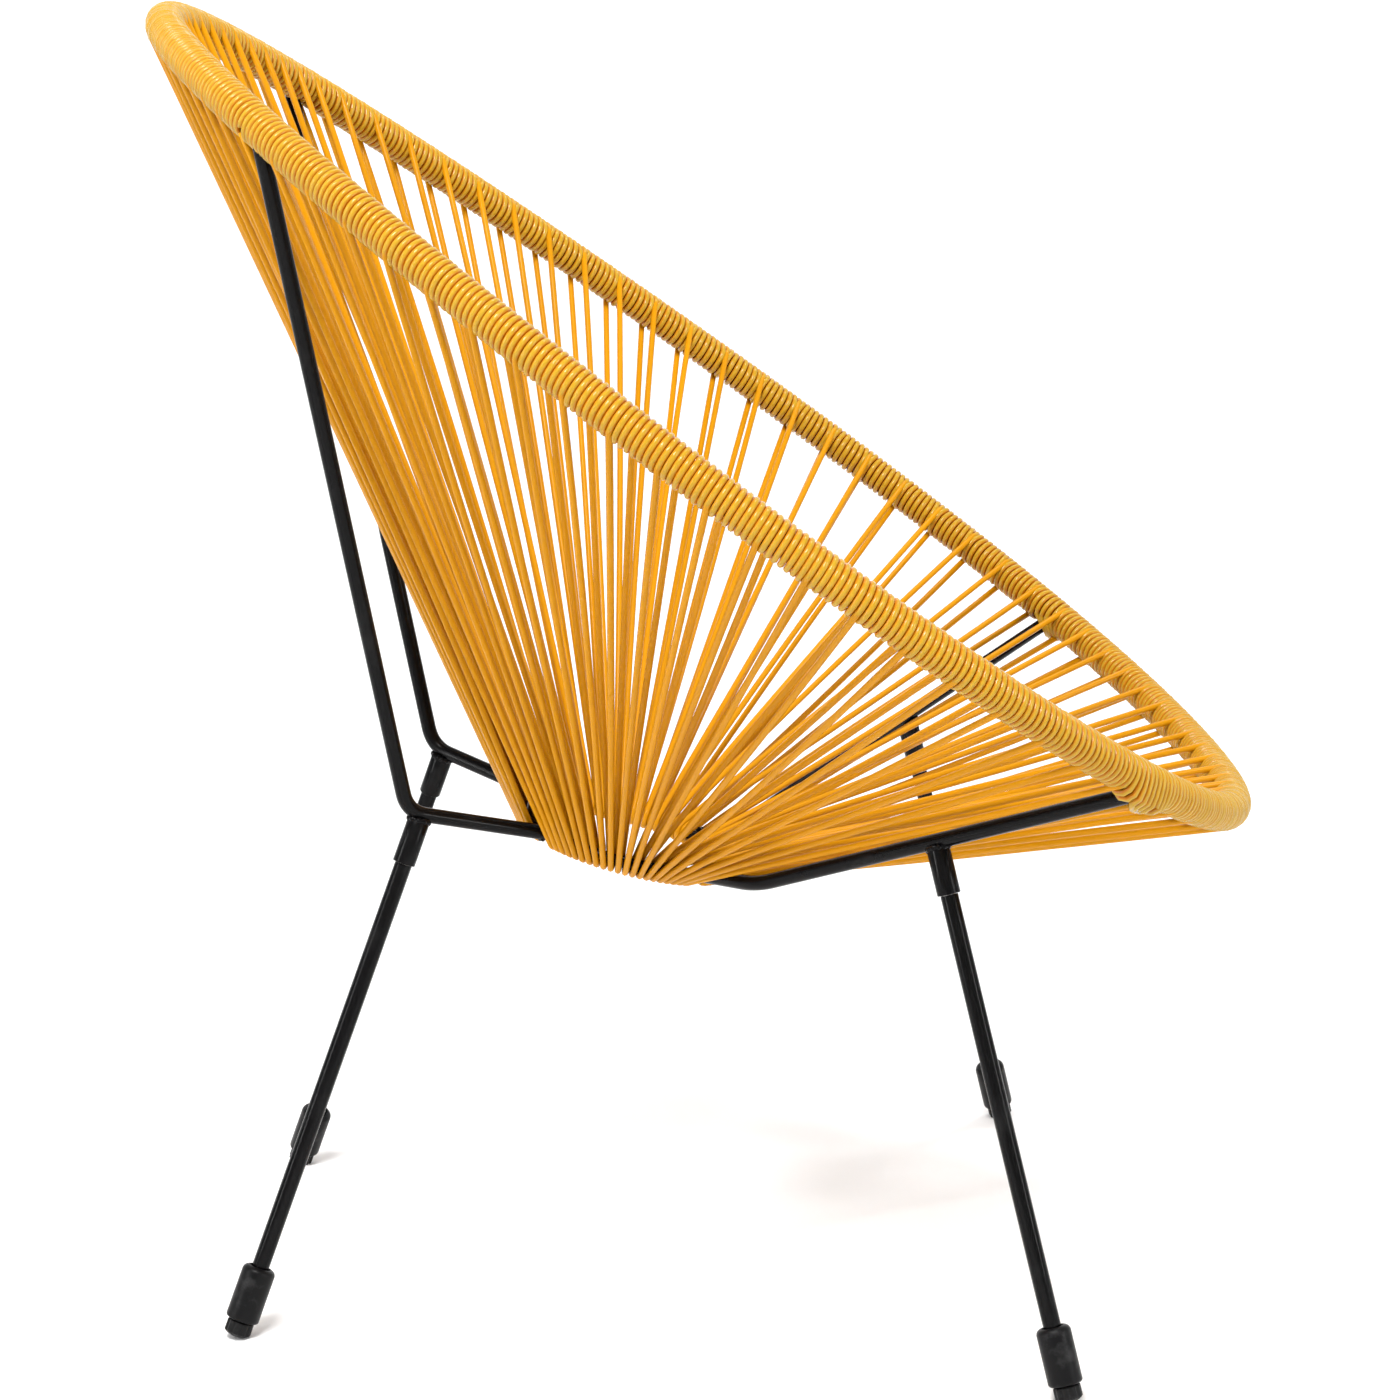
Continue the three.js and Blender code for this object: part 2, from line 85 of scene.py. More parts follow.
# Socket top, whose edge is melted into the weld: where it narrows and ends, in rods, and its width
SOCKET_FULL_SHARE, SOCKET_END_SHARE, SOCKET_TOP_SHARE = 0.95, 0.65, 0.86

# Edges broken on socket, leg, ferrule and glide
SOCKET_EDGE, LEG_EDGE, FERRULE_EDGE, GLIDE_EDGE = 0.0006, 0.0005, 0.0020, 0.0012

# The glide: how far in from its wall the flutes start and reach their depth, the closed bore, and
# the angle at which its dome starts
GRIP_START, GRIP_FULL, BORE_MIDDLE, DOME_START = 0.0022, 0.0002, 0.0004, -89.5

# Inside the ferrule: the nut's pocket, and the collar round the leg with its step
POCKET_RADIUS, POCKET_DEPTH = 0.0079, 0.0116
COLLAR_ROOM, COLLAR_STEP, COLLAR_DEPTH = 0.0016, 0.0003, 0.002

# Lamps: place, where they aim, width and height, and the studio setting of their power
LAMPS = {
    "overhead_lamp": ((-0.5, -1.7, 3.1), (0.0, 0.0, 0.4), (1.2, 1.0), "key_power"),
    "spark_lamp": ((0.9, 0.9, 3.2), (0.0, 0.0, 0.5), (0.3, 0.3), "spark_power"),
    "left_lamp": ((-3.0, -1.6, 1.3), (0.0, 0.0, 0.4), (0.16, 2.2), "side_power"),
    "right_lamp": ((3.0, -1.8, 1.3), (0.0, 0.0, 0.4), (0.16, 2.2), "side_power"),
    "wall_lamp": ((0.0, 1.8, 4.6), (0.0, 6.4, 1.6), (6.0, 0.8), "wall_power"),
}


# Small vector helpers, all in metres

def unit(vector):
    vector = np.asarray(vector, float)
    length = np.linalg.norm(vector, axis=-1, keepdims=True)
    return vector / np.maximum(length, 1e-12)


def part(vector, direction):
    """What is left of a vector without its share along a direction."""
    share = np.sum(vector * direction, axis=-1, keepdims=True)
    return vector - share * direction


def smoothstep(value, low, high):
    share = np.clip((value - low) / (high - low), 0.0, 1.0)
    return share * share * (3 - 2 * share)


def wrapped(angle):
    """An angle brought to within half a turn of zero."""
    return (angle + math.pi) % FULL_TURN - math.pi


def mirrored(point, side):
    return np.array([point[0], point[1] * side, point[2]])


# The sizes and colours that a user would change, with one maker for each kind of value

def length_prop(name, description, default, least=0.0):
    return bpy.props.FloatProperty(
        name=name, description=description, default=default, min=least, subtype="DISTANCE",
        unit="LENGTH")


def place_prop(name, description, default):
    return bpy.props.FloatVectorProperty(
        name=name, description=description, default=default, subtype="TRANSLATION", unit="LENGTH")


def angle_prop(name, description, degrees):
    return bpy.props.FloatProperty(
        name=name, description=description, default=math.radians(degrees), subtype="ANGLE",
        unit="ROTATION")


def share_prop(name, description, default):
    return bpy.props.FloatProperty(
        name=name, description=description, default=default, min=0.0, max=1.0, subtype="FACTOR")


def colour_prop(name, description, default):
    return bpy.props.FloatVectorProperty(
        name=name, description=description, default=default, size=3, min=0.0, max=1.0,
        subtype="COLOR")


def power_prop(name, description, default):
    return bpy.props.FloatProperty(
        name=name, description=description, default=default, min=0.0, unit="POWER")


def count_prop(name, description, default, least):
    return bpy.props.IntProperty(name=name, description=description, default=default, min=least)


class ChairSeatSizes(bpy.types.PropertyGroup):
    """The rim, the ring and the cord wound between them."""

    rim_centre: place_prop("Rim centre", "Middle of the rim's length and width", (0.0, 0.0, 0.5849))
    rim_half_length: length_prop(
        "Rim half length", "Half the rim's length, measured along its slope", 0.4315, 0.2)
    rim_half_width: length_prop(
        "Rim half width", "Half the rim's width before it is filled out", 0.3461, 0.2)
    rim_slope: angle_prop("Rim slope", "How steeply the rim falls towards the front", 36.14)
    rim_front_share: share_prop(
        "Fuller front", "How much wider the rim is at its front than at its top", 0.195)
    rim_ends_share: share_prop("Fuller ends", "How much the rim fills out at both ends", 0.044)
    rim_tube_radius: length_prop(
        "Rim tube radius", "Outside radius of the rim's steel tube", 0.008, 0.004)
    ring_centre: place_prop("Ring centre", "Middle of the base ring", (-0.056901, 0.0, 0.2935))
    ring_radius: length_prop("Ring radius", "Radius of the base ring's centre line", 0.07, 0.02)
    ring_tube_radius: length_prop(
        "Ring rod radius", "Radius of the rod that the base ring is bent from", 0.004, 0.002)
    ring_tilt: angle_prop("Ring tilt", "How far the base ring tips towards the front", 15.6)
    ring_rod_opening: angle_prop(
        "Room at a rod", "Angle of the ring that is left bare at each rod", 14.0)
    cord_radius: length_prop("Cord radius", "Radius of the plastic cord", 0.0022, 0.001)
    lay_gap: length_prop("Lay gap", "Room between the cord and the steel that it lies on", 0.0003)
    strand_stagger: length_prop(
        "Strand stagger", "How far a strand's two sides stand apart along the rim, halved", 0.0011)
    side_start: length_prop(
        "Side start", "Way along the rim from its front middle to a side's first strands", 0.306)
    side_end: length_prop(
        "Side end", "Way along the rim from its front middle to a side's last strands", 1.028)
    strands_per_span: count_prop(
        "Strands in a span", "Strands between two neighbouring rods", 21, 3)
    turn_lean: length_prop(
        "Turn lean", "How far the turns beside a strand lean into its place under the rim", 0.0025)
    turn_steps: count_prop(
        "Steps in a turn", "Points along each turn of cord round the rim", 20, 12)
    cord_sides: count_prop("Cord sides", "Sides of the cord's section", 8, 5)
    strand_waver: length_prop(
        "Strand waver", "How far a strand's middle may stray from straight", 0.0012)


class ChairFrameSizes(bpy.types.PropertyGroup):
    """The four bent rods and the sockets below them."""

    front_reach: length_prop(
        "Front rod reach", "Way along the rim from its front middle to a front rod", 0.307)
    rear_left_reach: length_prop(
        "Rear left rod reach", "Way along the rim from its front middle to the rear left rod",
        1.0475)
    rear_right_reach: length_prop(
        "Rear right rod reach", "Way along the rim from its front middle to the rear right rod",
        0.999)
    front_turn: angle_prop("Front rod turn", "Where on the base ring a front rod is welded", 45.0)
    rear_turn: angle_prop("Rear rod turn", "Where on the base ring a rear rod is welded", 138.0)
    rod_radius: length_prop("Rod radius", "Radius of the bent rods", 0.0051, 0.002)
    bend_reach: length_prop(
        "Bend reach", "How far from its corner a rod's bend starts", 0.014, 0.005)
    front_bend: place_prop(
        "Front bend", "Corner of a front rod, on the sitter's left", (0.030899, 0.0927, 0.2842))
    rear_bend: place_prop(
        "Rear bend", "Corner of a rear rod, on the sitter's left", (-0.196101, 0.0976, 0.3345))
    front_drop: length_prop(
        "Front rod drop", "How far below the rim's middle a front rod ends", 0.010)
    rear_drop: length_prop("Rear rod drop", "How far below the rim's middle a rear rod ends", 0.006)
    front_socket_rimward: length_prop(
        "Front socket", "Way along a front rod from its corner towards the rim to its socket",
        0.155)
    rear_socket_ringward: length_prop(
        "Rear socket", "Way along a rear rod from its corner towards the ring to its socket", 0.010)
    socket_radius: length_prop("Socket radius", "Outside radius of a leg socket", 0.0075, 0.004)
    socket_length: length_prop("Socket length", "Length of a leg socket", 0.034, 0.01)
    weld_bead: length_prop("Weld bead", "Radius of the bead of weld round a joint", 0.0019, 0.0005)


class ChairFootSizes(bpy.types.PropertyGroup):
    """The legs and what they stand on."""

    front_foot: place_prop(
        "Front foot", "Where a front leg's middle line meets the floor", (0.224099, 0.2733, 0.0))
    rear_foot: place_prop(
        "Rear foot", "Where a rear leg's middle line meets the floor", (-0.308901, 0.1685, 0.0))
    leg_radius: length_prop("Leg radius", "Outside radius of a leg", 0.0057, 0.003)
    leg_bore: length_prop("Leg bore", "Inside radius of a leg", 0.0044, 0.002)
    ferrule_radius: length_prop(
        "Ferrule radius", "Radius of the sleeve at a leg's end", 0.011, 0.006)
    ferrule_length: length_prop(
        "Ferrule length", "Length of the sleeve at a leg's end", 0.0365, 0.01)
    ferrule_shoulder: length_prop(
        "Ferrule shoulder", "Radius of the sleeve's rounded top edge", 0.004, 0.0005)
    ferrule_hold: length_prop("Ferrule hold", "How deep a leg stands in its sleeve", 0.022, 0.005)
    glide_radius: length_prop("Glide radius", "Radius of the screw-in glide", 0.0088, 0.004)
    glide_height: length_prop("Glide height", "Height of the glide along the leg", 0.011, 0.005)
    glide_dome: length_prop(
        "Glide dome", "Radius of the dome that the glide stands on", 0.014, 0.01)
    glide_flat: length_prop("Glide flat", "How much of the dome is worn flat on the floor", 0.0004)
    glide_flutes: count_prop("Glide flutes", "Grip flutes round the glide", 10, 3)
    flute_depth: length_prop("Flute depth", "Depth of a grip flute", 0.0009)
    foot_gap: length_prop("Foot gap", "Gap between a glide and the sleeve above it", 0.0006)
    stem_radius: length_prop("Stem radius", "Outside radius of the levelling thread", 0.004, 0.002)
    stem_length: length_prop("Stem length", "Length of the levelling thread", 0.03, 0.01)
    stem_in_glide: length_prop(
        "Stem in glide", "How deep the thread is moulded into the glide", 0.0065, 0.002)
    thread_pitch: length_prop(
        "Thread pitch", "Rise of the levelling thread in one turn", 0.00125, 0.0005)
    thread_depth: length_prop("Thread depth", "Depth of the levelling thread", 0.0007, 0.0001)
    fit_gap: length_prop("Fit gap", "Room between pieces that fit together", 0.0003)


class ChairFinishes(bpy.types.PropertyGroup):
    """Colours and gloss."""

    cord_colour: colour_prop("Cord", "Colour of the plastic cord", (0.465, 0.285, 0.020))
    cord_deep_colour: colour_prop(
        "Deep cord", "Colour of the cord where the plastic is a little darker",
        (0.44, 0.245, 0.012))
    # Painted shade: the hanging strands take a deeper, more saturated orange than the turns,
    # standing in for the shade and orange bounce light among them
    shaded_strand_colour: colour_prop(
        "Strands", "Colour of the cord where it hangs among other strands", (0.585, 0.248, 0.003))
    cord_sheen: share_prop(
        "Cord sheen", "Extra gloss of the turns round the rim, which are pulled smooth", 0.32)
    # Painted shade: a deep orange painted into the grooves where neighbouring turns touch, standing
    # in for the shade there
    groove_shade_colour: colour_prop(
        "Painted groove shade", "Colour of the cord where turns touch each other", (0.53, 0.125, 0.001))
    cord_roughness: share_prop("Cord roughness", "Roughness of the plastic cord", 0.24)
    frame_colour: colour_prop("Frame", "Colour of the painted steel", (0.0035, 0.0034, 0.0036))
    frame_roughness: share_prop("Frame roughness", "Roughness of the painted steel", 0.17)
    ferrule_colour: colour_prop(
        "Ferrule", "Colour of the sleeves at the legs' ends", (0.0045, 0.0045, 0.0048))
    glide_colour: colour_prop("Glide", "Colour of the glides", (0.009, 0.009, 0.009))
    steel_colour: colour_prop("Steel", "Colour of the plated threads", (0.56, 0.55, 0.52))


class ChairStudio(bpy.types.PropertyGroup):
    """Camera, floor and lights."""

    camera_place: place_prop("Camera place", "Where the camera stands", (0.0134, -2.2467, 0.8617))
    camera_yaw: angle_prop("Camera yaw", "How far the camera turns to its left", 0.5)
    camera_pitch: angle_prop("Camera pitch", "How far the camera looks down", 11.9)
    camera_roll: angle_prop("Camera roll", "How far the camera leans to its side", -0.22)
    camera_lens: bpy.props.FloatProperty(
        name="Lens", description="Focal length for a 36 mm wide sensor", default=87.43, min=10.0)
    floor_radius: length_prop(
        "Floor radius", "Radius of the flat middle of the studio floor", 4.5, 1.0)
    floor_colour: colour_prop("Floor", "Colour of the studio floor", (0.93, 0.93, 0.93))
    sky_strength: bpy.props.FloatProperty(
        name="Fill", description="Strength of the even light from all round", default=0.33, min=0.0)
    key_power: power_prop("Key", "Power of the large lamp overhead", 125.0)
    side_power: power_prop("Sides", "Power of each upright lamp at the sides", 40.0)
    spark_power: power_prop(
        "Spark", "Power of the small lamp that puts bright points on the cord", 14.0)
    wall_power: power_prop("Wall", "Power of the lamp that lights the wall behind", 220.0)


# Materials: a socket that can be reckoned with, and a finish that adds nodes

class Value:
    """A socket of a material; sums and products of it add Math nodes."""

    def __init__(self, finish, socket):
        self.finish = finish
        self.socket = socket

    def math(self, operation, first, second):
        return self.finish.node("ShaderNodeMath", {"operation": operation}, {0: first, 1: second})

    def __add__(self, other):
        return self.math("ADD", self, other)

    def __sub__(self, other):
        return self.math("SUBTRACT", self, other)

    def __rsub__(self, other):
        return self.math("SUBTRACT", other, self)

    def __mul__(self, other):
        return self.math("MULTIPLY", self, other)

    __radd__ = __add__
    __rmul__ = __mul__


class Finish:
    """One material and the nodes that make it."""

    def __init__(self, name):
        self.material = bpy.data.materials.new(name)
        self.material.use_nodes = True
        self.tree = self.material.node_tree
        self.shader = self.tree.nodes["Principled BSDF"]

    def node(self, kind, settings=None, inputs=None, output=0):
        node = self.tree.nodes.new(kind)
        for key, value in (settings or {}).items():
            if key == "stops":
                for element, (spot, level) in zip(node.color_ramp.elements, value):
                    element.position = spot
                    element.color = (level, level, level, 1.0)
            else:
                setattr(node, key, value)
        for key, value in (inputs or {}).items():
            self.plug(node.inputs[key], value)
        return Value(self, node.outputs[output])

    def plug(self, socket, value):
        if isinstance(value, Value):
            self.tree.links.new(value.socket, socket)
        elif hasattr(value, "__len__") and len(value) == 3 and socket.type == "RGBA":
            socket.default_value = (*value, 1.0)
        else:
            socket.default_value = value

    def set(self, **inputs):
        for key, value in inputs.items():
            name = key.replace("_", " ").title().replace("Ior", "IOR")
            self.plug(self.shader.inputs[name], value)

    def mix(self, share, first, second):
        inputs = {0: share, 6: first, 7: second}
        return self.node("ShaderNodeMix", {"data_type": "RGBA"}, inputs, output=2)

    def ramp(self, value, low, high):
        """A value spread from 0 at a low level to 1 at a high one."""
        return self.node("ShaderNodeValToRGB", {"stops": [(low, 0.0), (high, 1.0)]}, {0: value})

    def attribute(self, name, output="Fac"):
        return self.node("ShaderNodeAttribute", {"attribute_name": name}, output=output)

    def noise(self, scale, detail=2.0, where=None, roughness=0.5):
        where = where or self.node("ShaderNodeTexCoord", output="Object")
        inputs = {"Vector": where, "Scale": scale, "Detail": detail, "Roughness": roughness}
        return self.node("ShaderNodeTexNoise", None, inputs)

    def bump(self, height, strength, distance):
        inputs = {"Height": height, "Strength": strength, "Distance": distance}
        return self.node("ShaderNodeBump", None, inputs)


def lighter(colour, share):
    return tuple(channel + (1 - channel) * share for channel in colour)


def darker(colour, share):
    return tuple(channel * (1 - share) for channel in colour)


def cord_finish():
    """Extruded plastic: fine drawn lines along the cord, with painted shade that deepens its tone
    where it hangs among other strands and in the grooves where turns touch; glossier where it is
    pulled round the rim."""
    looks = bpy.context.scene.chair_finishes
    finish = Finish("yellow_cord_plastic")
    run = finish.attribute("cord_run", output="Vector")
    tone, touch, wound = (finish.attribute(f"cord_{kind}") for kind in ("tone", "touch", "wound"))
    drawn = finish.noise(scale=260.0, detail=1.0, where=run)
    cloud = finish.noise(scale=7.0, detail=3.0)
    deep = finish.ramp(cloud * 0.55 + tone * 0.45, low=0.3, high=0.7)
    base = finish.mix(deep, looks.cord_colour, looks.cord_deep_colour)
    # Painted shade: strands hanging among others take the deeper shaded strand colour
    shaded_hung = finish.mix(deep, looks.shaded_strand_colour, darker(looks.shaded_strand_colour, 0.12))
    body = finish.mix(wound, shaded_hung, base)
    streaked = finish.mix(drawn * 0.04, body, darker(looks.cord_deep_colour, 0.35))
    # Painted shade: the grooves where turns touch are painted deep orange
    pressed = finish.mix(touch * 0.85, streaked, looks.groove_shade_colour)
    fine = finish.noise(scale=900.0)
    finish.set(
        base_color=pressed,
        roughness=looks.cord_roughness + (fine - 0.5) * 0.06 + (drawn - 0.5) * 0.06,
        ior=1.5,
        specular_ior_level=0.1,
        coat_weight=wound * looks.cord_sheen,
        coat_roughness=0.16,
        normal=finish.bump(drawn * 0.6 + fine * 0.4, strength=0.05, distance=0.0002),
    )
    return finish.material


def frame_finish():
    """Glossy black coat on steel, with the faint orange peel of sprayed paint and rubbed spots."""
    looks = bpy.context.scene.chair_finishes
    finish = Finish("frame_black_coat")
    peel = finish.noise(scale=420.0)
    dust = finish.noise(scale=1500.0, detail=1.0)
    scuff = finish.ramp(finish.noise(scale=26.0, detail=4.0, roughness=0.6), low=0.56, high=0.74)
    finish.set(
        base_color=finish.mix(
            scuff * 0.5, looks.frame_colour, lighter(looks.frame_colour, 0.012)),
        roughness=looks.frame_roughness + scuff * 0.07 + (dust - 0.5) * 0.05,
        ior=1.5,
        specular_ior_level=0.1,
        normal=finish.bump(peel, strength=0.05, distance=0.0002),
    )
    return finish.material


def moulded_finish(name, colour, roughness, grain):
    """Moulded black plastic with a fine grain and dull rub marks."""
    finish = Finish(name)
    fine = finish.noise(scale=grain)
    worn = finish.ramp(finish.noise(scale=60.0, detail=4.0, roughness=0.65), low=0.52, high=0.72)
    finish.set(
        base_color=finish.mix(worn, colour, lighter(colour, 0.02)),
        roughness=roughness + worn * 0.10 + (fine - 0.5) * 0.12,
        ior=1.48,
        specular_ior_level=0.12,
        normal=finish.bump(fine, strength=0.15, distance=0.0001),
    )
    return finish.material


def steel_finish():
    """Zinc-plated steel with fine turning marks."""
    looks = bpy.context.scene.chair_finishes
    finish = Finish("plated_thread_steel")
    cloud = finish.noise(scale=180.0, detail=3.0)
    fine = finish.noise(scale=2200.0, detail=1.0)
    finish.set(
        base_color=finish.mix(cloud, looks.steel_colour, darker(looks.steel_colour, 0.25)),
        metallic=1.0,
        roughness=0.28 + (cloud - 0.5) * 0.2 + (fine - 0.5) * 0.1,
        normal=finish.bump(fine, strength=0.15, distance=0.0001),
    )
    return finish.material


def floor_finish():
    """A plain pale studio floor with barely visible mottling."""
    studio = bpy.context.scene.chair_studio
    finish = Finish("studio_floor")
    mottle = finish.noise(scale=1.6, detail=4.0)
    finish.set(
        base_color=finish.mix(
            mottle * 0.25, studio.floor_colour, darker(studio.floor_colour, 0.03)),
        roughness=0.75 + (mottle - 0.5) * 0.1,
    )
    return finish.material


MAKERS = {
    "yellow_cord": cord_finish,
    "frame_black": frame_finish,
    "ferrule_black": lambda: moulded_finish(
        "ferrule_moulded", bpy.context.scene.chair_finishes.ferrule_colour,
        roughness=0.36, grain=1400.0),
    "glide_black": lambda: moulded_finish(
        "glide_moulded", bpy.context.scene.chair_finishes.glide_colour,
        roughness=0.44, grain=900.0),
    "thread_steel": steel_finish,
    "studio_floor": floor_finish,
}
made_finishes = {}


def finish_of(slot):
    """The material of a slot, made on first use."""
    if slot not in made_finishes:
        made_finishes[slot] = MAKERS[slot]()
    return made_finishes[slot]


# Meshes

def new_mesh(name, points, faces):
    mesh = bpy.data.meshes.new(name)
    mesh.from_pydata(np.asarray(points, float).tolist(), [], [list(face) for face in faces])
    mesh.update()
    mesh.polygons.foreach_set("use_smooth", [True] * len(mesh.polygons))
    return mesh


def add_piece(mesh, body, slot, replaced=()):
    """Puts a mesh in the scene, riding on a body and standing for the CAD nodes named."""
    piece = bpy.data.objects.new(mesh.name, mesh)
    bpy.context.scene.collection.objects.link(piece)
    mesh.materials.append(finish_of(slot))
    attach(piece, body)
    if replaced:
        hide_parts(*replaced)


def sharpen(mesh, degrees=40):
    """Marks edges sharper than an angle, so smooth shading stops there."""
    mesh.set_sharp_from_angle(angle=math.radians(degrees))


def tube_frames(points, closed=False):
    """Two directions across a path, carried along it without twist."""
    points = np.asarray(points, float)
    if closed:
        tangents = unit(np.roll(points, -1, 0) - np.roll(points, 1, 0))
    else:
        tangents = unit(np.gradient(points, axis=0))
    first = np.cross(tangents[0], UP)
    if np.linalg.norm(first) < 0.1:
        first = np.cross(tangents[0], np.array([1.0, 0.0, 0.0]))
    across = np.empty_like(points)
    across[0] = unit(first)
    for i in range(1, len(points)):
        across[i] = unit(part(across[i - 1], tangents[i]))
    return across, np.cross(tangents, across)


def tube_grid(points, radius, sides, closed=False):
    """Rings of points round a path; radius may change along it."""
    across, above = tube_frames(points, closed)
    angles = np.arange(sides) * FULL_TURN / sides
    radii = np.broadcast_to(np.asarray(radius, float), (len(points),))
    ring = (np.cos(angles)[None, :, None] * across[:, None, :]
            + np.sin(angles)[None, :, None] * above[:, None, :])
    return np.asarray(points)[:, None, :] + radii[:, None, None] * ring


def grid_faces(count, sides, closed=False):
    """Quads between rings of points, and flat caps on an open run."""
    faces = []
    for i in range(count if closed else count - 1):
        this, following = i * sides, (i + 1) % count * sides
        for j in range(sides):
            k = (j + 1) % sides
            faces.append((this + j, this + k, following + k, following + j))
    if not closed:
        faces.append(tuple(reversed(range(sides))))
        faces.append(tuple(range((count - 1) * sides, count * sides)))
    return faces


def tube_mesh(name, points, radius, sides, closed=False):
    grid = tube_grid(points, radius, sides, closed)
    mesh = new_mesh(name, grid.reshape(-1, 3), grid_faces(len(points), sides, closed))
    if not closed:
        sharpen(mesh)
    return mesh


def circle_round(axis, sides):
    """Angles evenly round an axis, and the unit steps out from it at those angles."""
    right = unit(np.cross(axis, UP))
    forward = np.cross(axis, right)
    angles = np.arange(sides) * FULL_TURN / sides
    return angles, right * np.cos(angles)[:, None] + forward * np.sin(angles)[:, None]


def arc(centre_radius, centre_height, radius, start, end, steps):
    """Radius and height pairs along a rounded edge; angles in degrees."""
    angles = np.radians(np.linspace(start, end, steps + 1))
    return [(centre_radius + radius * math.cos(a), centre_height + radius * math.sin(a))
            for a in angles]


# The chair's own curves

class Rim:
    """The rim's centre line, from its front middle round by the sitter's left."""

    def __init__(self):
        sizes = bpy.context.scene.chair_seat
        slope = sizes.rim_slope
        self.down = np.array([math.cos(slope), 0.0, -math.sin(slope)])
        self.up = np.array([math.sin(slope), 0.0, math.cos(slope)])
        angles = np.linspace(0.0, FULL_TURN, RIM_SAMPLES)
        forward = np.cos(angles)
        fullness = 1 + sizes.rim_front_share * forward + sizes.rim_ends_share * forward ** 2
        across = sizes.rim_half_width * np.sin(angles) * fullness
        self.points = (np.array(sizes.rim_centre)
                       + sizes.rim_half_length * forward[:, None] * self.down
                       + across[:, None] * np.array([0.0, 1.0, 0.0]))
        steps = np.linalg.norm(np.diff(self.points, axis=0), axis=1)
        self.reach = np.concatenate([[0.0], np.cumsum(steps)])
        self.perimeter = self.reach[-1]

    def at(self, reach):
        reach = np.mod(np.asarray(reach, float), self.perimeter)
        return np.stack([np.interp(reach, self.reach, line) for line in self.points.T], axis=-1)

    def along(self, reach):
        reach = np.asarray(reach)
        return unit(self.at(reach + SMALL_STEP) - self.at(reach - SMALL_STEP))

    def out(self, reach):
        return np.cross(self.along(reach), self.up)


class Ring:
    """The base ring's centre line, by angle from its front."""

    def __init__(self):
        sizes = bpy.context.scene.chair_seat
        self.centre = np.array(sizes.ring_centre)
        self.radius = sizes.ring_radius
        self.tilt = sizes.ring_tilt

    def out(self, turn):
        return np.array([math.cos(turn) * math.cos(self.tilt), math.sin(turn),
                         -math.cos(turn) * math.sin(self.tilt)])

    def along(self, turn):
        return np.array([-math.sin(turn) * math.cos(self.tilt), math.cos(turn),
                         math.sin(turn) * math.sin(self.tilt)])

    def at(self, turn):
        return self.centre + self.radius * self.out(turn)


def lay_radius(tube_radius):
    """How far the cord's middle lies from that of the tube or rod it goes round."""
    sizes = bpy.context.scene.chair_seat
    return tube_radius + sizes.cord_radius + sizes.lay_gap


def rod_table():
    """Where each rod meets the rim and the ring."""
    sizes = bpy.context.scene.chair_frame
    feet = bpy.context.scene.chair_feet
    reaches = {"front_left": sizes.front_reach, "rear_left": sizes.rear_left_reach,
               "rear_right": sizes.rear_right_reach, "front_right": sizes.front_reach}
    front = {"turn": sizes.front_turn, "bend": sizes.front_bend, "drop": sizes.front_drop,
             "rimward": sizes.front_socket_rimward, "ringward": 0.0, "foot": feet.front_foot}
    rear = {"turn": sizes.rear_turn, "bend": sizes.rear_bend, "drop": sizes.rear_drop,
            "rimward": 0.0, "ringward": sizes.rear_socket_ringward, "foot": feet.rear_foot}
    return {name: dict(front if name.startswith("front") else rear, reach=reaches[name], side=side)
            for name, side in LEGS.items()}


def bezier(start, corner, end, count):
    share = np.linspace(0.0, 1.0, count)[:, None]
    return (1 - share) ** 2 * start + 2 * share * (1 - share) * corner + share ** 2 * end


def rod_path(rod, rim, ring):
    """A rod's centre line, the head of its socket and the way it leaves its bend."""
    sizes = bpy.context.scene.chair_frame
    side = rod["side"]
    ring_end = ring.at(rod["turn"] * side)
    corner = mirrored(rod["bend"], side)
    reach = rod["reach"] * side
    rim_at = rim.at(reach)
    under = unit(np.cross(ring_end - rim_at, rim.along(reach)))
    rim_end = rim_at + under * rod["drop"]
    in_way = unit(ring_end - corner)
    out_way = unit(rim_end - corner)
    bend = bezier(corner + in_way * sizes.bend_reach, corner, corner + out_way * sizes.bend_reach,
                  BEND_POINTS)
    start = ring_end - in_way * bpy.context.scene.chair_seat.ring_tube_radius
    straight_in = [start + (bend[0] - start) * share for share in (0.0, 0.5)]
    straight_out = [bend[-1] + (rim_end - bend[-1]) * share for share in (0.25, 0.5, 0.75, 1.0)]
    path = np.array([*straight_in, *bend, *straight_out])
    head = corner + out_way * rod["rimward"] + in_way * rod["ringward"]
    return {"path": path, "head": head, "out_way": out_way, "in_way": in_way, "rim_end": rim_end,
            "ring_end": ring_end}


def leg_axis(rod, rim, ring):
    """A leg's foot, its upward direction, its length and its lean from upright."""
    foot = mirrored(rod["foot"], rod["side"])
    rise = rod_path(rod, rim, ring)["head"] - foot
    up = unit(rise)
    return foot, up, np.linalg.norm(rise), math.acos(up[2])


# The cord

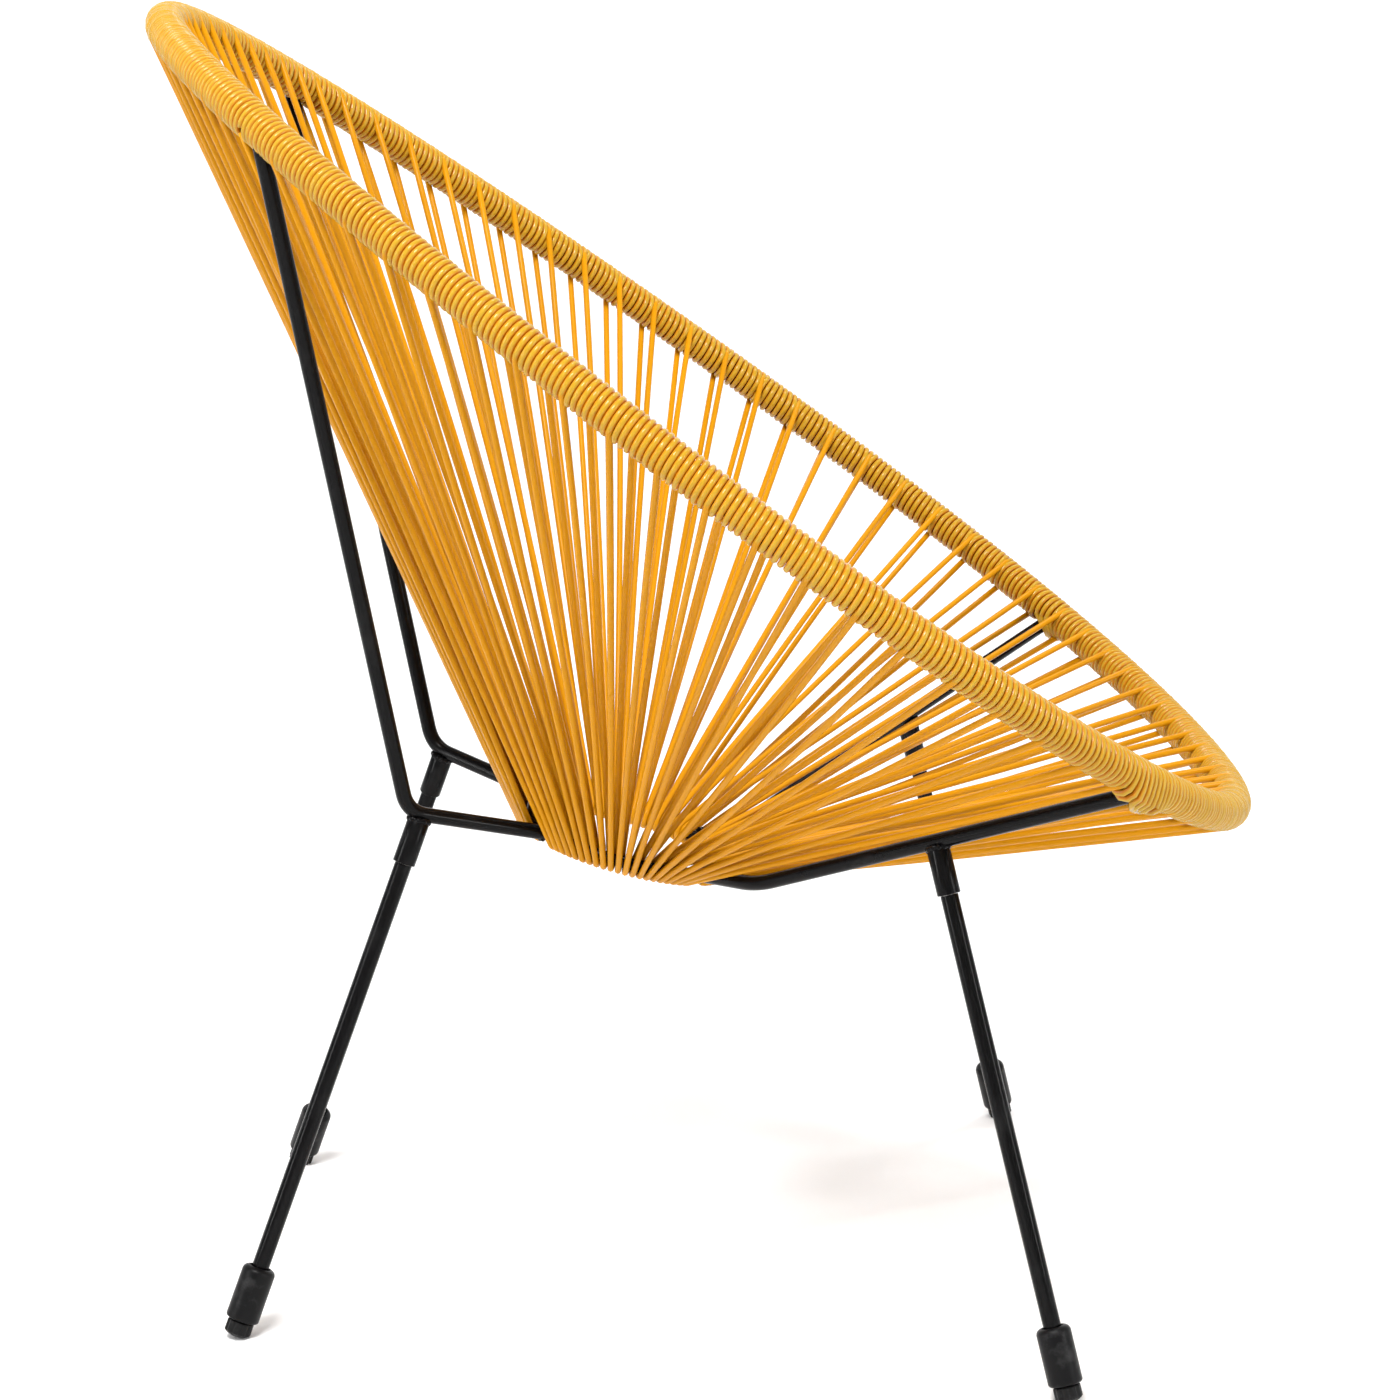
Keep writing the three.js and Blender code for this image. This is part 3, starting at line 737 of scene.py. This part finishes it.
class Strand:
    """One strand: down from the rim, round the base ring and back up."""

    def __init__(self, rim, ring, reach, turn):
        sizes = bpy.context.scene.chair_seat
        self.reach = reach
        lay = lay_radius(sizes.rim_tube_radius)
        loop = lay_radius(sizes.ring_tube_radius)
        centre = rim.at(reach)
        along = rim.along(reach)
        ring_at = ring.at(turn)
        ring_along = ring.along(turn)
        down = unit(ring_at - centre)
        outward = unit(np.cross(down, along))
        flat_down = unit(part(down, ring_along))
        ring_outward = unit(np.cross(flat_down, ring_along))
        self.top_outer = centre - along * sizes.strand_stagger + outward * lay
        self.top_inner = centre + along * sizes.strand_stagger - outward * lay
        angles = np.linspace(0.0, math.pi, LOOP_POINTS)[:, None]
        self.loop = ring_at + loop * (np.cos(angles) * ring_outward + np.sin(angles) * flat_down)
        square = unit(part(down, along))
        out = np.cross(along, rim.up)
        self.lay_angle = math.atan2(square @ rim.up, square @ out)
        self.down = down

    def side_path(self, top, bottom, chance):
        """A nearly straight side that strays a little in its middle."""
        waver = bpy.context.scene.chair_seat.strand_waver
        share = np.linspace(0.0, 1.0, STRAND_POINTS)[:, None]
        bow = 4 * share * (1 - share)
        drift = part(chance.normal(0.0, 1.0, 3), self.down) * waver
        return top + (bottom - top) * share + bow * drift

    def path(self, chance):
        first = self.side_path(self.top_outer, self.loop[0], chance)
        last = self.side_path(self.loop[-1], self.top_inner, chance)
        return np.vstack([first[:-1], self.loop, last[1:]])


def spans(rim):
    """Each span's ends on the rim and on the ring."""
    frame_sizes = bpy.context.scene.chair_frame
    sizes = bpy.context.scene.chair_seat
    front, rear = sizes.side_start, sizes.side_end
    front_turn, rear_turn = frame_sizes.front_turn, frame_sizes.rear_turn
    whole = rim.perimeter
    return {
        "front": (-front, front, -front_turn, front_turn),
        "left": (front, rear, front_turn, rear_turn),
        "rear": (rear, whole - rear, rear_turn, FULL_TURN - rear_turn),
        "right": (whole - rear, whole - front, FULL_TURN - rear_turn, FULL_TURN - front_turn),
    }


def strands_of(rim, ring, span):
    sizes = bpy.context.scene.chair_seat
    start, end, turn_start, turn_end = span
    count = sizes.strands_per_span
    room = turn_end - turn_start - sizes.ring_rod_opening
    strands = []
    for bay in range(count):
        reach = start + (end - start) * (bay + 0.5) / count
        turn = turn_start + sizes.ring_rod_opening / 2 + room * bay / (count - 1)
        strands.append(Strand(rim, ring, reach, turn))
    return strands


def rod_marks(rim, ring):
    """How each front rod lies under the rim: its reach, the way to the front, and the angles round
    the tube at which it lies and leaves."""
    marks = []
    for name, rod in rod_table().items():
        if name.startswith("rear"):
            continue
        reach = rod["reach"] * rod["side"] % rim.perimeter
        run = rod_path(rod, rim, ring)
        below = run["rim_end"] - rim.at(reach)
        leaving = below - run["out_way"] * rod["drop"]
        sides = [math.atan2(way @ rim.up, way @ rim.out(reach)) for way in (below, leaving)]
        marks.append((reach, -rod["side"], *sides))
    return marks


def belt_radius(angles, drop, around_rim, around_rod):
    """Radius of a taut loop round the rim and a rod whose middle lies off the rim's."""
    touch = math.acos((around_rim - around_rod) / drop)
    leave = math.atan2(around_rod * math.sin(touch), drop + around_rod * math.cos(touch))
    angles = np.abs(wrapped(angles))
    inside = np.maximum(around_rod ** 2 - (drop * np.sin(angles)) ** 2, 0.0)
    round_rod = drop * np.cos(angles) + np.sqrt(inside)
    straight = around_rim / np.cos(np.minimum(np.abs(angles - touch), 1.4))
    return np.where(angles < leave, round_rod, np.where(angles < touch, straight, around_rim))


def pass_rods(rim, reaches, angles, marks):
    """Turns beside a front rod crowd past it, and swell round its end under the rim."""
    frame_sizes = bpy.context.scene.chair_frame
    sizes = bpy.context.scene.chair_seat
    regular = lay_radius(sizes.rim_tube_radius)
    room = frame_sizes.rod_radius + sizes.cord_radius
    lift = np.zeros_like(reaches)
    for rod_reach, forward, below, leaving in marks:
        half = rim.perimeter / 2
        offset = forward * ((reaches - rod_reach + half) % rim.perimeter - half)
        if np.abs(offset).min() > ROD_NEARBY:
            continue
        facing = np.cos(angles - leaving)
        numbers = np.round((angles - leaving) / FULL_TURN)
        shift = np.zeros_like(offset)
        for number in np.unique(numbers):
            here = numbers == number
            meets = offset[here][np.argmax(facing[here])]
            side = 1 if meets > PART_AT else -1
            pressed = (meets - PART_AT) * (CROWD_REACH - room) / (CROWD_REACH - side * PART_AT)
            if abs(meets) < CROWD_REACH:
                shift[here] = side * room + pressed - meets
        beside = smoothstep(facing, FACING_START, FACING_FULL)
        belt = belt_radius(angles - below, frame_sizes.front_drop, regular, room)
        middle, full, gone = RIGHT_SWELL if forward > 0 else LEFT_SWELL
        under = 1 - smoothstep(np.abs(offset - middle), full, gone)
        lift += under * (belt - regular) + CROWD_LIFT_SHARE * np.abs(shift) * beside
        reaches = reaches + forward * shift * beside
    return reaches, lift


def turns_path(rim, before, after, rods, chance):
    """The turns round the rim between two strands, lying side by side."""
    sizes = bpy.context.scene.chair_seat
    pitch = 2 * sizes.cord_radius
    start = before.reach + sizes.strand_stagger
    end = after.reach - sizes.strand_stagger
    if end < start:
        end += rim.perimeter
    turns = max(round((end - start) / pitch - 0.5), 1) + 0.5
    count = int(round(turns * sizes.turn_steps))
    share = np.linspace(0.0, 1.0, count + 1)[1:-1]
    lay = before.lay_angle + wrapped(after.lay_angle - before.lay_angle) * share
    angles = lay - math.pi / 2 - share * turns * FULL_TURN
    settle = np.sin(share * math.pi)
    drift = TURN_DRIFT_SHARE * sizes.cord_radius * settle * chance.uniform(-1.0, 1.0)
    under = smoothstep(np.cos(angles - lay + LEAN_TOWARDS), LEAN_START, LEAN_FULL)
    lean = sizes.turn_lean * under * (2 * share - 1)
    reaches = start + (end - start) * share + drift + lean
    reaches, lift = pass_rods(rim, reaches, angles, rods)
    waver = TURN_WAVER * np.sin(angles * WAVER_RATE + chance.uniform(0.0, FULL_TURN))
    radius = lay_radius(sizes.rim_tube_radius) + lift + waver
    out = rim.out(reaches)
    radial = out * np.cos(angles)[:, None] + rim.up * np.sin(angles)[:, None]
    return rim.at(reaches) + radial * radius[:, None]


def cord_mesh(name, path, tones, rim_ways):
    """A tube of cord that knows its run, its tone, whether it is wound round the rim and where it
    touches the turns beside it, which is where the finish paints groove shade."""
    sizes = bpy.context.scene.chair_seat
    sides = sizes.cord_sides
    grid = tube_grid(path, sizes.cord_radius, sides)
    facing = np.sum((grid - path[:, None, :]) * rim_ways[:, None, :], axis=2)
    mesh = new_mesh(name, grid.reshape(-1, 3), grid_faces(len(path), sides))
    length = np.concatenate([[0.0], np.cumsum(np.linalg.norm(np.diff(path, axis=0), axis=1))])
    angles = np.arange(sides) * FULL_TURN / sides
    run = np.empty((len(path), sides, 3))
    run[:, :, 0] = length[:, None] * RUN_SCALE
    run[:, :, 1] = np.cos(angles)[None, :] * ROUND_SCALE
    run[:, :, 2] = np.sin(angles)[None, :] * ROUND_SCALE
    attribute = mesh.attributes.new("cord_run", "FLOAT_VECTOR", "POINT")
    attribute.data.foreach_set("vector", run.ravel())
    # cord_touch marks where a turn faces the turn beside it; the finish paints groove shade there
    levels = {
        "cord_tone": np.repeat(np.asarray(tones, float), sides),
        "cord_touch": smoothstep(np.abs(facing) / sizes.cord_radius, GROOVE_SHADE_START, 1.0).ravel(),
        "cord_wound": np.repeat(np.linalg.norm(rim_ways, axis=1), sides),
    }
    for kind, level in levels.items():
        mesh.attributes.new(kind, "FLOAT", "POINT").data.foreach_set("value", level)
    return mesh


def span_cord(name, rim, strands, following, rods, chance):
    """One span's cord in a single run: strand, turns, strand, up to the next span."""
    runs, tones, ways = [], [], []
    for number, strand in enumerate(strands):
        down = strand.path(chance)
        after = strands[number + 1] if number + 1 < len(strands) else following
        turns = turns_path(rim, strand, after, rods, chance)
        runs += [down, turns]
        tones += [chance.uniform(0.0, 1.0)] * len(down) + [0.5] * len(turns)
        middle = (strand.reach + after.reach) / 2
        way = rim.along(middle if after.reach > strand.reach else strand.reach)
        ways += [np.zeros_like(down), np.tile(way, (len(turns), 1))]
    return cord_mesh(name, np.vstack(runs), tones, np.vstack(ways))


class CHAIR_OT_cord(bpy.types.Operator):
    """Winds the plastic cord of all four spans."""

    bl_idname = "chair.cord"
    bl_label = "Wind the cord"

    def execute(self, context):
        rim, ring = Rim(), Ring()
        rods = rod_marks(rim, ring)
        strands = {name: strands_of(rim, ring, span) for name, span in spans(rim).items()}
        chance = np.random.default_rng(21)
        for number, name in enumerate(SPANS):
            following = strands[SPANS[(number + 1) % len(SPANS)]][0]
            mesh = span_cord(f"cord_{name}", rim, strands[name], following, rods, chance)
            replaced = [f"seat_cord_{name}_{index}" for index in (1, 2, 3)]
            if name in ("left", "right"):
                replaced += [f"rim_winding_{name}_{index}" for index in (1, 2)]
            add_piece(mesh, "chair", "yellow_cord", replaced)
        return {"FINISHED"}


class CHAIR_OT_rim(bpy.types.Operator):
    """Bends the rim tube and the base ring."""

    bl_idname = "chair.rim"
    bl_label = "Bend rim and ring"

    def execute(self, context):
        sizes = context.scene.chair_seat
        rim, ring = Rim(), Ring()
        reaches = np.linspace(0.0, rim.perimeter, 320, endpoint=False)
        mesh = tube_mesh("steel_rim", rim.at(reaches), sizes.rim_tube_radius, 20, closed=True)
        add_piece(mesh, "chair", "frame_black", ["rim_tube"])
        turns = np.linspace(0.0, FULL_TURN, 96, endpoint=False)
        path = np.array([ring.at(turn) for turn in turns])
        mesh = tube_mesh("steel_ring", path, sizes.ring_tube_radius, 16, closed=True)
        add_piece(mesh, "chair", "frame_black", ["base_ring"])
        return {"FINISHED"}


def add_weld(name, centre, axis, radius, bead, chance, steps=56, lobes=11):
    """A rippled bead of weld round a joint."""
    angles, around = circle_round(axis, steps)
    swell = 1 + WELD_RIPPLE * np.cos(lobes * angles) + WELD_GRAIN * chance.normal(0, 1, steps)
    wander = bead * WELD_WANDER * np.sin(2 * angles + WANDER_START)
    path = centre + around * radius + axis * wander[:, None]
    add_piece(tube_mesh(name, path, bead * swell, 10, closed=True), "chair", "frame_black")


class CHAIR_OT_rods(bpy.types.Operator):
    """Bends the four rods and welds them to the ring and the sockets."""

    bl_idname = "chair.rods"
    bl_label = "Bend the rods"

    def execute(self, context):
        sizes = context.scene.chair_frame
        rim, ring = Rim(), Ring()
        chance = np.random.default_rng(5)
        for name, rod in rod_table().items():
            end, side = name.split("_")
            run = rod_path(rod, rim, ring)
            mesh = tube_mesh(f"bent_rod_{name}", run["path"], sizes.rod_radius, 20)
            add_piece(mesh, "chair", "frame_black", [f"{end}_rod_{side}"])
            at_ring = run["ring_end"] - run["in_way"] * RING_WELD_BACK
            add_weld(f"ring_weld_{name}", at_ring, run["in_way"],
                     sizes.rod_radius * RING_WELD_SHARE, sizes.weld_bead * RING_BEAD_SHARE, chance)
            up = leg_axis(rod, rim, ring)[1]
            top = run["head"] - up * (sizes.rod_radius * SOCKET_WELD_DROP_SHARE)
            add_weld(f"socket_weld_{name}", top, up,
                     sizes.socket_radius * SOCKET_WELD_SHARE, sizes.weld_bead, chance)
        return {"FINISHED"}


def foot_heights(feet, lean):
    """Heights along a leg: the glide's dome's centre, the glide's top, the ferrule's bottom."""
    centre = (feet.glide_dome - feet.glide_flat) / math.cos(lean)
    glide_top = centre - feet.glide_dome + feet.glide_height
    return centre, glide_top, glide_top + feet.foot_gap


def ring_lathe(name, profile, origin, axis, sides=40):
    """A lathe whose profile closes on itself, as a sleeve's does."""
    around = circle_round(axis, sides)[1]
    rings = [origin + axis * height + around * radius for radius, height in profile]
    mesh = new_mesh(name, np.vstack(rings), grid_faces(len(profile), sides, closed=True))
    sharpen(mesh, 35)
    return mesh


def socket_profile(sizes, feet, bottom, head):
    """A bored socket with a broken lower edge, narrowed where the weld has melted its top."""
    bore = feet.stem_radius + feet.fit_gap
    inside = sizes.socket_radius - SOCKET_EDGE
    top = head - sizes.rod_radius * SOCKET_END_SHARE
    return [
        (bore, bottom), (inside, bottom),
        *arc(inside, bottom + SOCKET_EDGE, SOCKET_EDGE, -90, 0, 3)[1:],
        (sizes.socket_radius, head - sizes.rod_radius * SOCKET_FULL_SHARE),
        (sizes.socket_radius * SOCKET_TOP_SHARE, top), (bore, top),
    ]


def leg_profile(feet, bottom, top):
    """A tube with softened outer edges."""
    inside = feet.leg_radius - LEG_EDGE
    return [(feet.leg_bore, bottom), (inside, bottom),
            *arc(inside, bottom + LEG_EDGE, LEG_EDGE, -90, 0, 3)[1:],
            *arc(inside, top - LEG_EDGE, LEG_EDGE, 0, 90, 3), (feet.leg_bore, top)]


def ferrule_profile(feet, bottom):
    """A moulded sleeve: pocket for the nut, bore for the leg, rounded shoulder."""
    top = bottom + feet.ferrule_length
    seat = top - feet.ferrule_hold
    pocket_top = bottom + POCKET_DEPTH
    collar = feet.leg_radius + COLLAR_ROOM
    bore = feet.leg_radius + feet.fit_gap
    hole = feet.stem_radius + feet.fit_gap
    inside = feet.ferrule_radius - FERRULE_EDGE
    shoulder = feet.ferrule_shoulder
    return [
        (POCKET_RADIUS, bottom), (inside, bottom),
        *arc(inside, bottom + FERRULE_EDGE, FERRULE_EDGE, -90, 0, 4)[1:],
        *arc(feet.ferrule_radius - shoulder, top - shoulder, shoulder, 0, 84, 9),
        (collar, top - 0.1 * COLLAR_DEPTH), (collar - COLLAR_STEP, top - 0.4 * COLLAR_DEPTH),
        (collar - COLLAR_STEP, top - COLLAR_DEPTH), (bore, top - COLLAR_DEPTH), (bore, seat),
        (hole, seat), (hole, pocket_top), (POCKET_RADIUS, pocket_top),
    ]


class CHAIR_OT_legs(bpy.types.Operator):
    """Turns the sockets, legs and ferrules."""

    bl_idname = "chair.legs"
    bl_label = "Turn the legs"

    def execute(self, context):
        sizes = context.scene.chair_frame
        feet = context.scene.chair_feet
        rim, ring = Rim(), Ring()
        for name, rod in rod_table().items():
            foot, up, length, lean = leg_axis(rod, rim, ring)
            ferrule_bottom = foot_heights(feet, lean)[2]
            socket_bottom = length - sizes.socket_length
            profile = socket_profile(sizes, feet, socket_bottom, length)
            mesh = ring_lathe(f"socket_{name}", profile, foot, up)
            add_piece(mesh, "chair", "frame_black", [f"leg_socket_{name}"])
            bottom = ferrule_bottom + feet.ferrule_length - feet.ferrule_hold + feet.fit_gap
            profile = leg_profile(feet, bottom, socket_bottom - feet.fit_gap)
            mesh = ring_lathe(f"leg_{name}", profile, foot, up)
            add_piece(mesh, "chair", "frame_black", [f"leg_tube_{name}"])
            profile = ferrule_profile(feet, ferrule_bottom)
            mesh = ring_lathe(f"leg_ferrule_{name}", profile, foot, up, 48)
            add_piece(mesh, "chair", "ferrule_black", [f"ferrule_{name}"])
        return {"FINISHED"}


def thread_points(feet, bottom, sides):
    """Radii and height of each ring of a threaded stem, whose crest winds upwards round it."""
    steps = int(feet.stem_length / feet.thread_pitch * THREAD_STEPS)
    rows = []
    for i in range(steps + 1):
        height = feet.stem_length * i / steps
        row = []
        for j in range(sides):
            phase = (height / feet.thread_pitch - j / sides) % 1.0
            crest = 1 - abs(2 * phase - 1)
            ends = min(height, feet.stem_length - height, feet.thread_pitch) / feet.thread_pitch
            row.append(feet.stem_radius - feet.thread_depth * (1 - crest * ends))
        rows.append((row, bottom + height))
    return rows


def stem_mesh(name, feet, foot, up, bottom, sides=28):
    """The levelling thread, from its lower end up."""
    around = circle_round(up, sides)[1]
    rows = thread_points(feet, bottom, sides)
    points = [foot + up * height + around * np.array(row)[:, None] for row, height in rows]
    mesh = new_mesh(name, np.vstack(points), grid_faces(len(rows), sides))
    sharpen(mesh, 50)
    return mesh


def glide_mesh(name, feet, foot, up, centre, top, sides=80):
    """A domed glide with grip flutes round its wall, worn flat where it stands."""
    angles, around = circle_round(up, sides)
    radius, edge = feet.glide_radius, GLIDE_EDGE
    reach = math.degrees(math.acos(radius / feet.glide_dome))
    dome = arc(0.0, centre, feet.glide_dome, DOME_START, -reach, 12)
    hole = feet.stem_radius + feet.fit_gap
    bore_floor = top - feet.stem_in_glide - feet.fit_gap
    wall = [(radius, top - edge - (top - edge - dome[-1][1]) * share) for share in (0.66, 0.33)]
    profile = [*dome, *wall, *arc(radius - edge, top - edge, edge, 0, 90, 4), (hole, top),
               (hole, bore_floor), (BORE_MIDDLE, bore_floor)]
    flute = (0.5 - 0.5 * np.cos(feet.glide_flutes * angles)) ** 2
    rings = []
    for distance, height in profile:
        grip = 0.0
        if distance > hole:
            grip = smoothstep(distance, radius - GRIP_START, radius - GRIP_FULL)
        radii = distance - feet.flute_depth * flute * grip
        rings.append(foot + up * height + around * radii[:, None])
    points = np.vstack(rings)
    points[:, 2] = np.maximum(points[:, 2], 0.0)
    mesh = new_mesh(name, points, grid_faces(len(profile), sides))
    sharpen(mesh)
    return mesh


def dress_node(node, slot):
    """Gives a CAD node that stays a better material."""
    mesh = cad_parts[node].data
    mesh.materials.clear()
    mesh.materials.append(finish_of(slot))


class CHAIR_OT_feet(bpy.types.Operator):
    """Cuts the levelling threads and moulds the glides."""

    bl_idname = "chair.feet"
    bl_label = "Make the levelling feet"

    def execute(self, context):
        feet = context.scene.chair_feet
        rim, ring = Rim(), Ring()
        for name, rod in rod_table().items():
            foot, up, _, lean = leg_axis(rod, rim, ring)
            centre, glide_top, _ = foot_heights(feet, lean)
            mesh = stem_mesh(f"thread_{name}", feet, foot, up, glide_top - feet.stem_in_glide)
            add_piece(mesh, f"stem_{name}", "thread_steel", [f"leveller_stem_{name}"])
            mesh = glide_mesh(f"glide_foot_{name}", feet, foot, up, centre, glide_top)
            add_piece(mesh, f"glide_{name}", "glide_black", [f"leveller_glide_{name}"])
            for hidden in (f"threaded_insert_{name}", f"leg_stud_{name}"):
                dress_node(hidden, "thread_steel")
        return {"FINISHED"}


def sweep_mesh(radius, wall=3.6, bend=2.4, sides=96):
    """A round floor that curves up into a wall all the way round."""
    profile = [(0.02, 0.0), (radius * 0.3, 0.0), (radius * 0.7, 0.0), (radius, 0.0)]
    profile += [(radius + bend * math.sin(a), bend * (1 - math.cos(a)))
                for a in np.linspace(0.0, math.pi / 2, 25)[1:]]
    profile.append((radius + bend, bend + wall))
    angles = np.arange(sides) * FULL_TURN / sides
    points = [(distance * math.cos(a), distance * math.sin(a), height)
              for distance, height in profile for a in angles]
    faces = [tuple(reversed(face)) for face in grid_faces(len(profile), sides)[:-1]]
    return new_mesh("studio_floor", points, faces)


def add_world(strength):
    world = bpy.data.worlds.new("studio_fill")
    world.use_nodes = True
    background = world.node_tree.nodes["Background"]
    background.inputs["Color"].default_value = (1.0, 1.0, 1.0, 1.0)
    background.inputs["Strength"].default_value = strength
    bpy.context.scene.world = world


def add_lamp(name, place, target, size, power):
    lamp = bpy.data.lights.new(name, "AREA")
    lamp.shape = "RECTANGLE"
    lamp.size, lamp.size_y = size
    lamp.energy = power
    holder = bpy.data.objects.new(name, lamp)
    holder.location = place
    holder.rotation_euler = (Vector(target) - Vector(place)).to_track_quat("-Z", "Y").to_euler()
    bpy.context.scene.collection.objects.link(holder)


def add_camera(studio):
    lens = bpy.data.cameras.new("camera")
    lens.sensor_fit = "HORIZONTAL"
    lens.sensor_width = 36.0
    lens.lens = studio.camera_lens
    lens.clip_end = 100.0
    holder = bpy.data.objects.new("camera", lens)
    holder.location = studio.camera_place
    holder.rotation_mode = "QUATERNION"
    yaw, pitch, roll = studio.camera_yaw, studio.camera_pitch, studio.camera_roll
    forward = Vector(
        (-math.sin(yaw) * math.cos(pitch), math.cos(yaw) * math.cos(pitch), -math.sin(pitch)))
    right = Vector((math.cos(yaw), math.sin(yaw), 0.0))
    down = forward.cross(right)
    turned_right = right * math.cos(roll) - down * math.sin(roll)
    turned_down = right * math.sin(roll) + down * math.cos(roll)
    axes = Matrix((turned_right, -turned_down, -forward)).transposed()
    holder.rotation_quaternion = axes.to_quaternion()
    bpy.context.scene.collection.objects.link(holder)
    bpy.context.scene.camera = holder


class CHAIR_OT_stage(bpy.types.Operator):
    """Sets up the floor, the lights and the camera."""

    bl_idname = "chair.stage"
    bl_label = "Set the stage"

    def execute(self, context):
        studio = context.scene.chair_studio
        floor = bpy.data.objects.new("studio_floor", sweep_mesh(studio.floor_radius))
        floor.data.materials.append(finish_of("studio_floor"))
        context.scene.collection.objects.link(floor)
        add_world(studio.sky_strength)
        for name, (spot, target, size, setting) in LAMPS.items():
            add_lamp(name, spot, target, size, getattr(studio, setting))
        add_camera(studio)
        context.scene.view_settings.view_transform = "Standard"
        return {"FINISHED"}


GROUPS = {
    "Seat": ("chair_seat", ChairSeatSizes),
    "Frame": ("chair_frame", ChairFrameSizes),
    "Legs and feet": ("chair_feet", ChairFootSizes),
    "Finishes": ("chair_finishes", ChairFinishes),
    "Studio": ("chair_studio", ChairStudio),
}
OPERATORS = (
    CHAIR_OT_cord, CHAIR_OT_rim, CHAIR_OT_rods, CHAIR_OT_legs, CHAIR_OT_feet, CHAIR_OT_stage)


class CHAIR_PT_panel(bpy.types.Panel):
    """Lists the chair's sizes, finishes and steps."""

    bl_label = "Acapulco chair"
    bl_idname = "CHAIR_PT_panel"
    bl_space_type = "VIEW_3D"
    bl_region_type = "UI"
    bl_category = "Chair"

    def draw(self, context):
        layout = self.layout
        for title, (name, _) in GROUPS.items():
            box = layout.box()
            box.label(text=title)
            settings = getattr(context.scene, name)
            for key in settings.__annotations__:
                box.prop(settings, key)
        for operator in OPERATORS:
            layout.operator(operator.bl_idname)


def register():
    for name, group in GROUPS.values():
        bpy.utils.register_class(group)
        setattr(bpy.types.Scene, name, bpy.props.PointerProperty(type=group))
    for operator in OPERATORS:
        bpy.utils.register_class(operator)
    bpy.utils.register_class(CHAIR_PT_panel)


def unregister():
    bpy.utils.unregister_class(CHAIR_PT_panel)
    for operator in reversed(OPERATORS):
        bpy.utils.unregister_class(operator)
    for name, group in GROUPS.values():
        delattr(bpy.types.Scene, name)
        bpy.utils.unregister_class(group)


def main():
    register()
    bpy.ops.chair.stage()
    bpy.ops.chair.cord()
    bpy.ops.chair.rim()
    bpy.ops.chair.rods()
    bpy.ops.chair.legs()
    bpy.ops.chair.feet()


if __name__ == "__main__":
    main()
